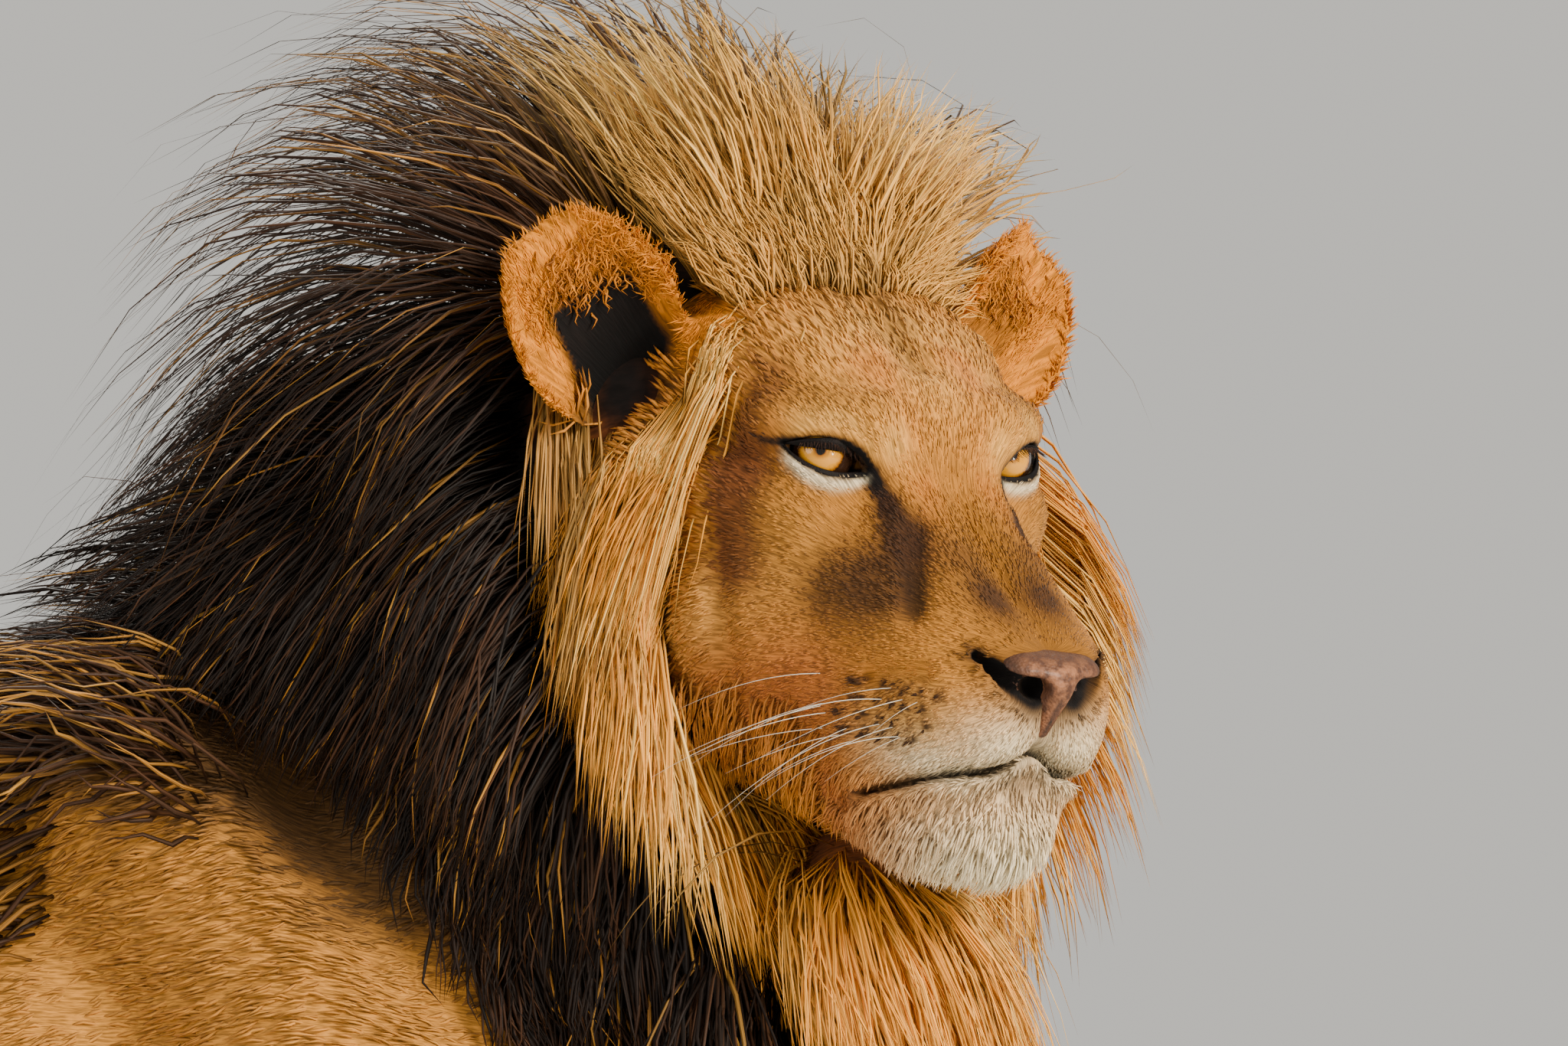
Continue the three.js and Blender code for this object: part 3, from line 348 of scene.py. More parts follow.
def surfaceOf(grid, value):
    volume = openvdb.FloatGrid(background=float(value.max()))
    volume.copyFromArray(np.ascontiguousarray(value, np.float32))
    points, quads = volume.convertToQuads(isovalue=0.0)
    return points.astype(float) * grid["step"] + grid["low"], quads.astype(np.int64)


# ---- ears ----
ear = {
    "back": -142, "out": 118, "up": 12, "length": 130, "halfWidth": 53, "cup": 42, "wall": 10,
    "spread": 78, "across": 34, "along": 26, "join": 15,
}


def earFrame(side):
    axis = unit(np.array((-0.04, 0.6 * side, 0.8)))
    opening = np.array((0.98, 0.14 * side, -0.1))
    opening = unit(opening - axis * (opening @ axis))
    return axis, opening, np.cross(axis, opening), np.array((ear["back"], ear["out"] * side, ear["up"]), float)


def earPoints(side, inner, u, v):
    # u runs across the cup from -1 to 1, v from its root to its tip.
    axis, opening, wide, base = earFrame(side)
    low = 0.5 + 0.5 * np.sin(v / 0.5 * 1.57)
    high = np.sqrt(np.maximum(0, 1 - ((v - 0.5) / 0.52) ** 2))
    half = np.maximum(ear["halfWidth"] * np.where(v < 0.5, low, high), 7) - (ear["wall"] * 0.45 if inner else 0)
    a = np.radians(u * ear["spread"])
    spread = math.radians(ear["spread"])
    deep = ear["cup"] * (1 - 0.45 * v) * half / ear["halfWidth"]
    thick = ear["wall"] * (1 - 0.45 * np.abs(u) ** 3) if inner else 0
    forward = deep * (1 - np.cos(a)) / (1 - math.cos(spread)) + thick - 22 + 26 * v * (1 - v)
    sideways = half * np.sin(a) / math.sin(spread)
    return base + np.multiply.outer(v * ear["length"] - 26, axis) + np.multiply.outer(sideways, wide) + np.multiply.outer(forward, opening)


def earShell(side):
    rows, columns = ear["along"] + 1, ear["across"] + 1
    u, v = np.meshgrid(np.linspace(-1, 1, columns), np.linspace(0, 1, rows))
    outer = earPoints(side, False, u.ravel(), v.ravel())
    inner = earPoints(side, True, u.ravel(), v.ravel() * 0.93)
    points = np.vstack([outer, inner])
    quads, off = [], rows * columns
    for i in range(rows - 1):
        for j in range(columns - 1):
            a = i * columns + j
            quads.append((a, a + columns, a + columns + 1, a + 1))
            quads.append((off + a, off + a + 1, off + a + columns + 1, off + a + columns))
    for j in range(columns - 1):
        t = (rows - 1) * columns + j
        quads += [(j, j + 1, off + j + 1, off + j), (t, off + t, off + t + 1, t + 1)]
    for i in range(rows - 1):
        a, b = i * columns, i * columns + columns - 1
        quads += [(a, off + a, off + a + columns, a + columns), (b, b + columns, off + b + columns, off + b)]
    return points, np.array(quads)


def addEar(grid, value, side):
    points, quads = earShell(side)
    inside = (points - grid["low"]) / grid["step"]
    shell = openvdb.FloatGrid.createLevelSetFromPolygons(
        inside.astype(np.float32), quads=quads.astype(np.uint32),
        transform=openvdb.createLinearTransform(1.0), halfWidth=10.0,
    )
    near = np.empty(value.shape, np.float32)
    shell.copyToArray(near)
    return soften(value, near * grid["step"], ear["join"])


# ---- the skin ----
skin = {
    "bodyStep": 10.5, "headStep": 2.7, "noseStep": 1.1, "coatDepth": 4.0, "faceDepth": 1.6, "maneDepth": 28.0,
    "bodyLow": (-1375, -250, -14), "bodyHigh": (500, 250, 1330),
    "headLow": (-190, -225, -250), "headHigh": (178, 225, 150), "headBack": -165,
    "mouthWidth": 1.5, "mouthDepth": 9,
}


def lipLine(x, y):
    # The height of the line between the lips, from the front back to the corner of the mouth.
    front = -137 - 5 * np.clip((172 - x) / 26, 0, 1) + 12 * np.exp(-((y / 13) ** 2))
    t = np.clip((152 - x) / 90, 0, 1)
    return front - 40 * t**1.15


def makeBodySkin():
    grid = newGrid(skin["bodyLow"], skin["bodyHigh"], skin["bodyStep"])
    body = fillGrid(grid, torsoForms, softness["torso"]) + skin["coatDepth"]
    neck = fillGrid(grid, neckForms, softness["neck"]) + skin["maneDepth"]
    body = soften(body, neck, 40)
    for leg in legs.values():
        limb = fillGrid(grid, leg["forms"], softness["leg"]) + skin["coatDepth"]
        foot = fillGrid(grid, leg["pawForms"], softness["paw"]) + skin["coatDepth"] * 0.6
        body = soften(body, soften(limb, foot, 12), 22)
    body = soften(body, fillGrid(grid, tailForms, softness["tail"]) + skin["coatDepth"], 14)
    floor = 1.5 - grid["axes"][2][None, None, :]
    return surfaceOf(grid, np.maximum(body, floor))


def eyeFrame(side):
    turn = turnAbout("Z", eye["yaw"] * side) @ turnAbout("Y", -eye["pitch"])
    centre = np.array((eye["back"], eye["out"] * side, eye["up"]), float)
    return centre, turn


lid = {"length": 50, "upper": 10.5, "lower": 8, "tilt": -11, "rise": 11}


def lidFrame(side):
    # The eye's own axes, turned with the slant of the lids: x out of the head, y to the outer corner, z up.
    centre, turn = eyeFrame(side)
    turn = turn @ turnAbout("Y", -lid["rise"]) @ turnAbout("X", lid["tilt"] * -side)
    turn[:, 1] *= side
    return centre, turn


def makeHeadSkin():
    grid = newGrid(skin["headLow"], skin["headHigh"], skin["headStep"])
    value = fillGrid(grid, headForms, softness["head"])
    value = fillGrid(grid, headFolds, softness["head"], value)
    x, y, z = (
        grid["axes"][0][:, None, None], grid["axes"][1][None, :, None], grid["axes"][2][None, None, :],
    )
    shut = 1 - smoothstep(x, 62, 80)
    gap = np.abs(z - lipLine(x, y)) - skin["mouthWidth"] * (1 - shut) + 12 * shut
    value = -soften(-value, np.maximum(gap, -(value + skin["mouthDepth"])), 5)
    for side in (1, -1):
        value = addEar(grid, value, side)
    value = value + skin["faceDepth"]
    for side in (1, -1):
        centre, turn = lidFrame(side)
        dx, dy, dz = x - centre[0], y - centre[1], z - centre[2]
        out = dx * turn[0, 0] + dy * turn[1, 0] + dz * turn[2, 0]
        a = dx * turn[0, 1] + dy * turn[1, 1] + dz * turn[2, 1]
        b = dx * turn[0, 2] + dy * turn[1, 2] + dz * turn[2, 2]
        share = np.clip(1 - (a / (lid["length"] / 2)) ** 2, 0, 1)
        almond = np.maximum(b - lid["upper"] * share, -b - lid["lower"] * share)
        almond = np.maximum(almond, np.maximum(np.abs(a) - lid["length"] / 2, 4 - out))
        ball = np.sqrt(dx * dx + dy * dy + dz * dz) - (eye["radius"] + 1.2)
        value = -soften(-value, almond, 5)
        value = np.maximum(value, -ball)
    value = fillNostrils(grid, value)
    value = np.maximum(value, skin["headBack"] - x)
    points, quads = surfaceOf(grid, value)
    return onHead(points), quads


def fillNostrils(grid, value):
    holes = {name: {**noseCuts[name], "soft": 3} for name in ("hole", "slit")}
    return fillGrid(grid, holes, 3, value)


def faceNormals(points, quads):
    normals = np.cross(points[quads[:, 2]] - points[quads[:, 0]], points[quads[:, 3]] - points[quads[:, 1]])
    return normals


def pointNormals(points, quads):
    total = np.zeros_like(points)
    normals = faceNormals(points, quads)
    for k in range(4):
        np.add.at(total, quads[:, k], normals)
    return unit(total)


# ---- meshes from arrays ----
def meshObject(name, points, faces, material, uvs=None, colours=None, vectors=None):
    # points are in millimetres on the body's axes; faces all have the same number of corners.
    sides = faces.shape[1]
    corners = faces.ravel().astype(np.int32)
    data = bpy.data.meshes.new(name)
    data.vertices.add(len(points))
    data.vertices.foreach_set("co", ((points + bodyShift) * metre).astype(np.float32).ravel())
    data.loops.add(len(corners))
    data.loops.foreach_set("vertex_index", corners)
    data.polygons.add(len(faces))
    data.polygons.foreach_set("loop_start", np.arange(len(faces), dtype=np.int32) * sides)
    data.update(calc_edges=True)
    data.shade_smooth()
    for uvName, places in (uvs or {}).items():
        layer = data.uv_layers.new(name=uvName)
        layer.data.foreach_set("uv", places[corners].astype(np.float32).ravel())
    for toneName, tones in (colours or {}).items():
        layer = data.attributes.new(toneName, "FLOAT_COLOR", "POINT")
        full = np.ones((len(tones), 4), np.float32)
        full[:, :3] = tones
        layer.data.foreach_set("color", full.ravel())
    for vectorName, values in (vectors or {}).items():
        layer = data.attributes.new(vectorName, "FLOAT_VECTOR", "POINT")
        layer.data.foreach_set("vector", values.astype(np.float32).ravel())
    data.materials.append(material)
    thing = bpy.data.objects.new(name, data)
    scene.collection.objects.link(thing)
    return thing


def loft(sections):
    # Closes a row of rings into one body, with flat ends.
    rings, around = sections.shape[:2]
    faces = []
    for i in range(rings - 1):
        for j in range(around):
            k = (j + 1) % around
            faces.append((i * around + j, i * around + k, (i + 1) * around + k, (i + 1) * around + j))
    points = np.vstack([sections.reshape(-1, 3), sections[0].mean(0), sections[-1].mean(0)])
    first, last = rings * around, rings * around + 1
    triangles = []
    for face in faces:
        triangles += [(face[0], face[1], face[2]), (face[0], face[2], face[3])]
    for j in range(around):
        k = (j + 1) % around
        triangles.append((first, k, j))
        triangles.append((last, (rings - 1) * around + j, (rings - 1) * around + k))
    return points, np.array(triangles)


def linear(hexColour):
    parts = np.array([int(hexColour[i : i + 2], 16) for i in (0, 2, 4)]) / 255
    return np.where(parts <= 0.04045, parts / 12.92, ((parts + 0.055) / 1.055) ** 2.4)


# ---- colours: what the skin and the coat share ----
hues = {
    "gold": "c8832f", "paleGold": "e2a852", "tan": "bd8033", "belly": "dcb975", "white": "f5e7c1",
    "bridge": "945f1a", "umber": "3d2412", "black": "0e0908", "temple": "6c3b17", "cheek": "a85d28",
    "red": "c05f13", "ear": "d88414", "ruff": "ed9e33", "paleRuff": "f8c66a", "shade": "402c16",
    "mane": "0e0805", "maneBrown": "462a14", "crest": "dfac56", "crestDark": "432712", "tipGold": "c98d37",
    "back": "6f431b", "pad": "2a1d1a",
}
hues = {name: linear(code) for name, code in hues.items()}


def blendTo(tones, hue, share):
    return tones + (hues[hue] - tones) * np.clip(share, 0, 1)[:, None]


def near(points, at, size):
    # How close points are to a middle, from 1 down to 0, with a soft edge.
    return np.exp(-np.sum(((points - np.array(at)) / np.array(size)) ** 2, axis=1))


def nearLine(points, start, end, radii):
    start, end = np.array(start, float), np.array(end, float)
    along = np.clip((points - start) @ (end - start) / np.sum((end - start) ** 2), 0, 1)
    away = np.linalg.norm(points - start - along[:, None] * (end - start), axis=1)
    return np.exp(-((away / (radii[0] + (radii[1] - radii[0]) * along)) ** 2))


# Markings of the face, and painted shade in some of its folds and hollows, laid on in this order: hue, strength, and a
# spot {at, size} or a stroke {from, to, r}.
faceMarks = [
    ("bridge", 0.68, {"at": (6, 84, -24), "size": (52, 36, 60)}),
    # Brown above the outer corner of the eye, with the painted shade of the crease there.
    ("bridge", 0.5, {"at": (-14, 72, 30), "size": (24, 22, 15)}),
    # Painted shade in the fold between the cheek and the ruff.
    ("temple", 0.35, {"at": (-17, 80, -120), "size": (28, 30, 38)}),
    ("paleGold", 0.55, {"at": (-40, 0, 52), "size": (60, 60, 30)}),
    ("paleGold", 0.5, {"at": (-70, 95, -110), "size": (50, 40, 50)}),
    ("cheek", 0.8, {"at": (30, 70, -125), "size": (46, 40, 30)}),
    # Reddish-brown hair under the cheek, with painted shade between the cheek and the ruff.
    ("cheek", 0.6, {"at": (-20, 95, -150), "size": (50, 50, 34)}),
    # Behind the eye: a band of brown fur, darkened further with painted shade.
    ("temple", 0.68, {"from": (-44, 84, 36), "to": (-34, 100, -8), "r": (16, 20)}),
    ("temple", 0.95, {"from": (-36, 102, -14), "to": (-26, 100, -66), "r": (20, 20)}),
    ("paleGold", 0.12, {"at": (4, 86, -54), "size": (26, 30, 26)}),
    ("bridge", 0.9, {"from": (66, 0, -42), "to": (142, 0, -72), "r": (28, 38)}),
    ("bridge", 0.6, {"from": (24, 0, -12), "to": (80, 0, -48), "r": (22, 28)}),
    ("red", 0.45, {"from": (6, 28, 16), "to": (-24, 28, 44), "r": (11, 16)}),
    ("red", 0.3, {"from": (30, 20, -10), "to": (70, 30, -50), "r": (7, 10)}),
    ("umber", 0.4, {"from": (-20, 2, 48), "to": (-90, 14, 76), "r": (6, 9)}),
    ("paleGold", 0.7, {"at": (14, 36, 12), "size": (12, 9, 12)}),
    # A dark patch beside the muzzle, with painted shade along the crease between the bridge and the cheek, darkest in
    # the black stroke.
    ("umber", 0.85, {"at": (56, 56, -62), "size": (32, 28, 27)}),
    ("umber", 0.6, {"at": (26, 64, -72), "size": (24, 24, 22)}),
    ("black", 0.7, {"from": (52, 37, -30), "to": (82, 50, -68), "r": (9, 8)}),
    ("umber", 0.9, {"at": (104, 18, -60), "size": (23, 14, 18)}),
    ("umber", 0.5, {"at": (74, 24, -44), "size": (17, 13, 14)}),
    ("paleGold", 0.3, {"from": (8, 48, 19), "to": (-8, 84, 20), "r": (10, 9)}),
    ("black", 1.0, {"from": (14, 46, -7), "to": (36, 41, -24), "r": (7, 5)}),
    ("umber", 0.95, {"from": (32, 42, -22), "to": (54, 42, -38), "r": (9, 14)}),
    ("black", 0.9, {"from": (-8, 86, 4), "to": (-26, 96, 3), "r": (4, 2)}),
    ("paleGold", 0.6, {"at": (104, 52, -130), "size": (34, 22, 20)}),
    ("white", 0.95, {"at": (134, 20, -128), "size": (28, 26, 20)}),
    ("white", 0.75, {"at": (114, 40, -145), "size": (34, 26, 13)}),
    ("white", 1.0, {"at": (112, 0, -194), "size": (50, 46, 38)}),
    ("cheek", 0.8, {"at": (56, 54, -174), "size": (28, 24, 22)}),
    ("umber", 0.55, {"at": (142, 0, -150), "size": (20, 24, 10)}),
    ("black", 0.95, {"from": (158, 0, -112), "to": (150, 0, -140), "r": (5, 4)}),
    # Black in the nostrils: painted shade of their depth.
    ("black", 1.0, {"from": (158, 14, -98), "to": (130, 40, -84), "r": (13, 8)}),
    ("black", 1.0, {"at": (146, 8, -96), "size": (16, 12, 13)}),
]
spotRows = {"rows": 4, "columns": 6, "from": (128, 40, -106), "alongX": -11.5, "alongY": 3.2, "down": -9.5, "size": 3.5}


def whiskerSpots():
    # The rows of dark spots on the upper lip, in the head's axes, for the left side.
    places = []
    for row in range(spotRows["rows"]):
        for column in range(spotRows["columns"] - (row % 2)):
            shift = column + 0.5 * (row % 2)
            x = spotRows["from"][0] + spotRows["alongX"] * shift - 3 * row
            y = spotRows["from"][1] + spotRows["alongY"] * shift
            z = spotRows["from"][2] + spotRows["down"] * row - 1.2 * shift
            places.append((x, y, z))
    return np.array(places)


def eyeTone(there, tones):
    # Black lids, with a pale crescent of fur under the eye and a paler brow over it.
    centre, turn = lidFrame(1)
    place = (there - centre) @ turn
    a, b = place[:, 1], place[:, 2]
    share = a / 25
    bow = np.clip(1 - (a / 27) ** 2, 0, 1)
    atFront = (place[:, 0] > -12) & (np.abs(a) < 40) & (np.abs(b) < 40)
    under = np.exp(-(((b + 2.5 + 10.8 * bow) / 4.0) ** 2)) * smoothstep(28 - np.abs(a), 0, 10) * atFront
    over = np.exp(-(((b - 5 - 17 * bow) / 4.5) ** 2)) * smoothstep(30 - np.abs(a), 0, 12) * atFront
    edge = np.where(b > 0, (b - 10.5 * bow * (1 - 0.35 * share)) / 3.2, (b + 8.2 * bow) / 2.0)
    rim = np.exp(-(edge**2)) * (np.abs(a) < 29) * atFront
    tones = blendTo(tones, "white", under * 0.75)
    tones = blendTo(tones, "paleGold", over * 0.4)
    return blendTo(tones, "black", np.minimum(rim * 1.3, 1))


def faceTone(points):
    # points are in the head's axes.
    there = points.copy()
    there[:, 1] = np.abs(there[:, 1])
    tones = np.tile(hues["gold"], (len(there), 1))
    for hue, strength, mark in faceMarks:
        if "at" in mark:
            share = near(there, mark["at"], mark["size"])
        else:
            share = nearLine(there, mark["from"], mark["to"], mark["r"])
        tones = blendTo(tones, hue, np.clip(share * 1.35, 0, 1) * strength)
    tones = eyeTone(there, tones)
    lips = np.exp(-((there[:, 2] - lipLine(there[:, 0], there[:, 1])) / 3.2) ** 2) * smoothstep(there[:, 0], 60, 76)
    tones = blendTo(tones, "black", lips * 0.9 * (there[:, 2] > -215))
    for spot in whiskerSpots():
        away = np.linalg.norm((there - spot)[:, [0, 2]], axis=1)
        tones = blendTo(tones, "umber", 1.2 * np.exp(-((away / spotRows["size"]) ** 2)) * (there[:, 1] > 25))
    for side in (1, -1):
        tones = earTone(points, tones, side)
    return tones


def earPlaces(points, side):
    # How far up the ear, across it and forward of it points are, in shares of its size.
    axis, opening, wide, base = earFrame(side)
    away = points - base
    return (away @ axis + 26) / ear["length"], (away @ wide) / ear["halfWidth"], (away @ opening + 22) / ear["cup"]


# The hollow of each ear, where its shade is painted black on the skin.
def earHollowShade(up, inward, forward):
    wide = smoothstep(forward, 0.06, 0.2) * (1 - smoothstep(np.abs(inward + 0.14), 0.42, 0.62))
    low = smoothstep(up, -0.12, 0) * (1 - smoothstep(forward - np.maximum(up, 0), 0.45, 0.68))
    return wide * low * (1 - smoothstep(up, 0.54, 0.68))


def earTone(points, tones, side):
    up, across, forward = earPlaces(points, side)
    onEar = smoothstep(up, 0.08, 0.26) * (np.abs(across) < 1.35) * (np.abs(forward) < 1.7) * (points[:, 1] * side > 60)
    tones = blendTo(tones, "ear", onEar * 0.95)
    inward = across * side  # grows towards the outer edge of the ear
    here = (np.abs(across) < 1.35) * (np.abs(forward) < 1.7) * (points[:, 1] * side > 60)
    # The hollow's shade is painted black, deeper on the near ear than on the far one.
    tones = blendTo(tones, "black", (1.3 if side < 0 else 0.5) * here * earHollowShade(up, inward, forward))
    behind = onEar * (1 - smoothstep(forward, -0.06, 0.08)) * smoothstep(up, 0.5, 0.8)
    return blendTo(tones, "umber", behind * 0.85)


# Lines over the lion's right side, as millimetres across and up from the near eye in the camera's plane.
nearEye = onHead((eye["back"], -eye["out"], eye["up"]))
ruffLine = {"up": (-440, -333, -313, -273, -221, -150, -126, -90, -10, 16),
            "across": (80, 12, -5, -40, -80, -114, -127, -138, -152, -160)}
shadeLine = {"across": (-460, -379, -313, -268, -202, -174, -120), "up": (-190, -210, -230, -272, -288, -340, -420)}


def fromNearEye(points):
    away = points - nearEye
    return away[..., 0] * 0.985 + away[..., 1] * 0.174, away[..., 2]


def ruffShare(points, width=15, farReach=50):
    # The golden ruff gives way to the dark mane along a line that falls from behind the ear.
    local = inHead(points)
    farSide = local[:, 1] > 0
    tooFarBack = farSide * (1 - smoothstep(local[:, 0], -300, -240))
    local[:, 1] = -np.abs(local[:, 1])
    across, up = fromNearEye(onHead(local))
    edge = np.interp(up, ruffLine["up"], ruffLine["across"]) - farReach * farSide
    return smoothstep(across - edge, -width, width) * (1 - smoothstep(up, 20, 60)) * (1 - tooFarBack)


# The near shoulder keeps its short coat below a line that falls from the withers: how far across, at each height.
shoulderLine = {"height": (640, 845, 985, 1050, 1085), "across": (-118, -157, -200, -243, -420), "aim": (753, -141)}


def onShoulder(points, width=22):
    x, y, z = (points + bodyShift).T
    across = (x - shoulderLine["aim"][0]) * 0.985 + (y - shoulderLine["aim"][1]) * 0.174
    edge = np.interp(z, shoulderLine["height"], shoulderLine["across"])
    return smoothstep(edge - across, -width, width) * (points[:, 1] < -20)


def ripple(points, size):
    # A slow, uneven wave over the body, from -1 to 1, that breaks up even colour.
    x, y, z = (points / size).T
    return np.sin(x * 1.7 + 2.1 * np.sin(z * 0.9 + y)) * np.cos(y * 1.3 - z * 1.1 + 1.9 * np.sin(x * 0.8))


def bodyTone(points, normals):
    tones = np.tile(hues["tan"], (len(points), 1))
    x, y, z = points.T
    tones = blendTo(tones, "back", smoothstep(normals[:, 2], 0.3, 0.95) * smoothstep(z, 800, 950) * 0.7)
    tones = blendTo(tones, "belly", smoothstep(-normals[:, 2], 0.1, 0.8) * smoothstep(z, 200, 500) * 0.85)
    tones = blendTo(tones, "paleGold", smoothstep(420 - z, 0, 330) * 0.55)
    tones = blendTo(tones, "belly", smoothstep(75 - z, 0, 50) * 0.5)
    # Above shadeLine: a painted shadow of the head over the near shoulder, together with the darker hair there.
    across, up = fromNearEye(points * (1, 0, 1) - np.outer(np.abs(y), (0, 1, 0)))
    above = up + 9 * ripple(points, 17) - np.interp(across, shadeLine["across"], shadeLine["up"])
    tones = blendTo(tones, "shade", smoothstep(above, -18, 26) * (x > -330) * 0.9)
    tones = blendTo(tones, "pad", smoothstep(-normals[:, 2], 0.75, 0.95) * (z < 30))
    tones = blendTo(tones, "maneBrown", smoothstep(230 - z, 0, 60) * (x < -1150))
    neck = (1 - smoothstep(neckAt(points) + skin["maneDepth"], 4, 26)) * (1 - onShoulder(points))
    local = inHead(points)
    dark = blendTo(np.tile(hues["mane"], (len(points), 1)), "crestDark", smoothstep(local[:, 2], 60, 110))
    dark = blendTo(dark, "temple", ruffShare(points) * 0.9)
    dark = blendTo(dark, "bridge", smoothstep(local[:, 0], -190, -140) * smoothstep(local[:, 2], 60, 95))
    tones = tones + (dark - tones) * neck[:, None]
    local[:, 1] = np.abs(local[:, 1])
    return blendTo(tones, "black", 1.5 * near(local, (-142, 111, 2), (22, 20, 22)))


# ---- shared shader effects ----
def groupSockets(tree, inputs, outputs):
    for name, kind, value in inputs:
        socket = tree.interface.new_socket(name=name, in_out="INPUT", socket_type=kind)
        if value is not None:
            socket.default_value = value
    for name, kind in outputs:
        tree.interface.new_socket(name=name, in_out="OUTPUT", socket_type=kind)
    return tree.nodes.new("NodeGroupInput"), tree.nodes.new("NodeGroupOutput")


def link(tree, source, target):
    tree.links.new(source, target)


def mathNode(tree, operation, first, second):
    made = tree.nodes.new("ShaderNodeMath")
    made.operation = operation
    for socket, value in zip(made.inputs, (first, second)):
        if isinstance(value, (int, float)):
            socket.default_value = value
        else:
            tree.links.new(value, socket)
    return made.outputs[0]


def makeHairGroup():
    # Fine hairs: narrow across the lie of the coat, long along it.
    tree = bpy.data.node_groups.new("fineHairs", "ShaderNodeTree")
    given, out = groupSockets(
        tree,
        [
            ("Tone", "NodeSocketColor", (0.5, 0.4, 0.3, 1)),
            ("Lie", "NodeSocketVector", None),
            ("Hairs Across", "NodeSocketFloat", 1.0),
            ("Hairs Along", "NodeSocketFloat", 0.05),
            ("Dark", "NodeSocketFloat", 0.5),
            ("Light", "NodeSocketFloat", 1.4),
        ],
        [("Color", "NodeSocketColor"), ("Height", "NodeSocketFloat")],
    )
    parts = tree.nodes.new("ShaderNodeSeparateXYZ")
    link(tree, given.outputs["Lie"], parts.inputs[0])
    stretched = tree.nodes.new("ShaderNodeCombineXYZ")
    link(tree, mathNode(tree, "MULTIPLY", parts.outputs[0], given.outputs["Hairs Across"]), stretched.inputs[0])
    link(tree, mathNode(tree, "MULTIPLY", parts.outputs[1], given.outputs["Hairs Along"]), stretched.inputs[1])
    noise = tree.nodes.new("ShaderNodeTexNoise")
    noise.noise_dimensions = "2D"
    noise.inputs["Scale"].default_value = 1.0
    noise.inputs["Detail"].default_value = 2.0
    noise.inputs["Roughness"].default_value = 0.6
    link(tree, stretched.outputs[0], noise.inputs["Vector"])
    spread = tree.nodes.new("ShaderNodeMapRange")
    spread.inputs["From Min"].default_value = 0.34
    spread.inputs["From Max"].default_value = 0.66
    link(tree, noise.outputs["Fac"], spread.inputs["Value"])
    link(tree, given.outputs["Dark"], spread.inputs["To Min"])
    link(tree, given.outputs["Light"], spread.inputs["To Max"])
    scaled = tree.nodes.new("ShaderNodeVectorMath")
    scaled.operation = "SCALE"
    link(tree, given.outputs["Tone"], scaled.inputs[0])
    link(tree, spread.outputs[0], scaled.inputs["Scale"])
    link(tree, scaled.outputs[0], out.inputs["Color"])
    link(tree, noise.outputs["Fac"], out.inputs["Height"])
    return tree


def makeMottleGroup():
    # Soft patches and fine grain in the object's own space, for leather, horn and the eye.
    tree = bpy.data.node_groups.new("mottle", "ShaderNodeTree")
    given, out = groupSockets(
        tree,
        [
            ("Place", "NodeSocketVector", None),
            ("Patch Scale", "NodeSocketFloat", 60.0),
            ("Grain Scale", "NodeSocketFloat", 900.0),
            ("First", "NodeSocketColor", (0.2, 0.1, 0.1, 1)),
            ("Second", "NodeSocketColor", (0.05, 0.03, 0.03, 1)),
        ],
        [("Color", "NodeSocketColor"), ("Height", "NodeSocketFloat")],
    )
    patch = tree.nodes.new("ShaderNodeTexNoise")
    patch.inputs["Detail"].default_value = 4.0
    link(tree, given.outputs["Place"], patch.inputs["Vector"])
    link(tree, given.outputs["Patch Scale"], patch.inputs["Scale"])
    grain = tree.nodes.new("ShaderNodeTexVoronoi")
    link(tree, given.outputs["Place"], grain.inputs["Vector"])
    link(tree, given.outputs["Grain Scale"], grain.inputs["Scale"])
    spread = tree.nodes.new("ShaderNodeMapRange")
    spread.inputs["From Min"].default_value = 0.38
    spread.inputs["From Max"].default_value = 0.62
    link(tree, patch.outputs["Fac"], spread.inputs["Value"])
    blend = tree.nodes.new("ShaderNodeMix")
    blend.data_type = "RGBA"
    link(tree, spread.outputs[0], blend.inputs["Factor"])
    link(tree, given.outputs["First"], blend.inputs["A"])
    link(tree, given.outputs["Second"], blend.inputs["B"])
    link(tree, blend.outputs["Result"], out.inputs["Color"])
    link(tree, grain.outputs["Distance"], out.inputs["Height"])
    return tree


fineHairs = makeHairGroup()
mottle = makeMottleGroup()


def newMaterial(name, **values):
    material = bpy.data.materials.new(name)
    material.use_nodes = True
    shader = material.node_tree.nodes["Principled BSDF"]
    for socket, value in values.items():
        shader.inputs[socket.replace("_", " ")].default_value = value
    return material, material.node_tree, shader


def addBump(tree, shader, height, strength, distance):
    bump = tree.nodes.new("ShaderNodeBump")
    bump.inputs["Strength"].default_value = strength
    bump.inputs["Distance"].default_value = distance
    link(tree, height, bump.inputs["Height"])
    link(tree, bump.outputs[0], shader.inputs["Normal"])


def hairMaterial(name, values):
    material, tree, shader = newMaterial(name, Roughness=values["roughness"], Specular_IOR_Level=values["shine"])
    shader.inputs["Sheen Weight"].default_value = values["sheen"]
    shader.inputs["Sheen Roughness"].default_value = 0.5
    tone = tree.nodes.new("ShaderNodeAttribute")
    tone.attribute_name = "tone"
    lay = tree.nodes.new("ShaderNodeUVMap")
    lay.uv_map = "lie"
    hairs = tree.nodes.new("ShaderNodeGroup")
    hairs.node_tree = fineHairs
    link(tree, tone.outputs["Color"], hairs.inputs["Tone"])
    link(tree, lay.outputs[0], hairs.inputs["Lie"])
    for socket in ("Hairs Across", "Hairs Along", "Dark", "Light"):
        hairs.inputs[socket].default_value = values[socket]
    link(tree, hairs.outputs["Color"], shader.inputs["Base Color"])
    addBump(tree, shader, hairs.outputs["Height"], values["bump"], values["depth"])
    return material


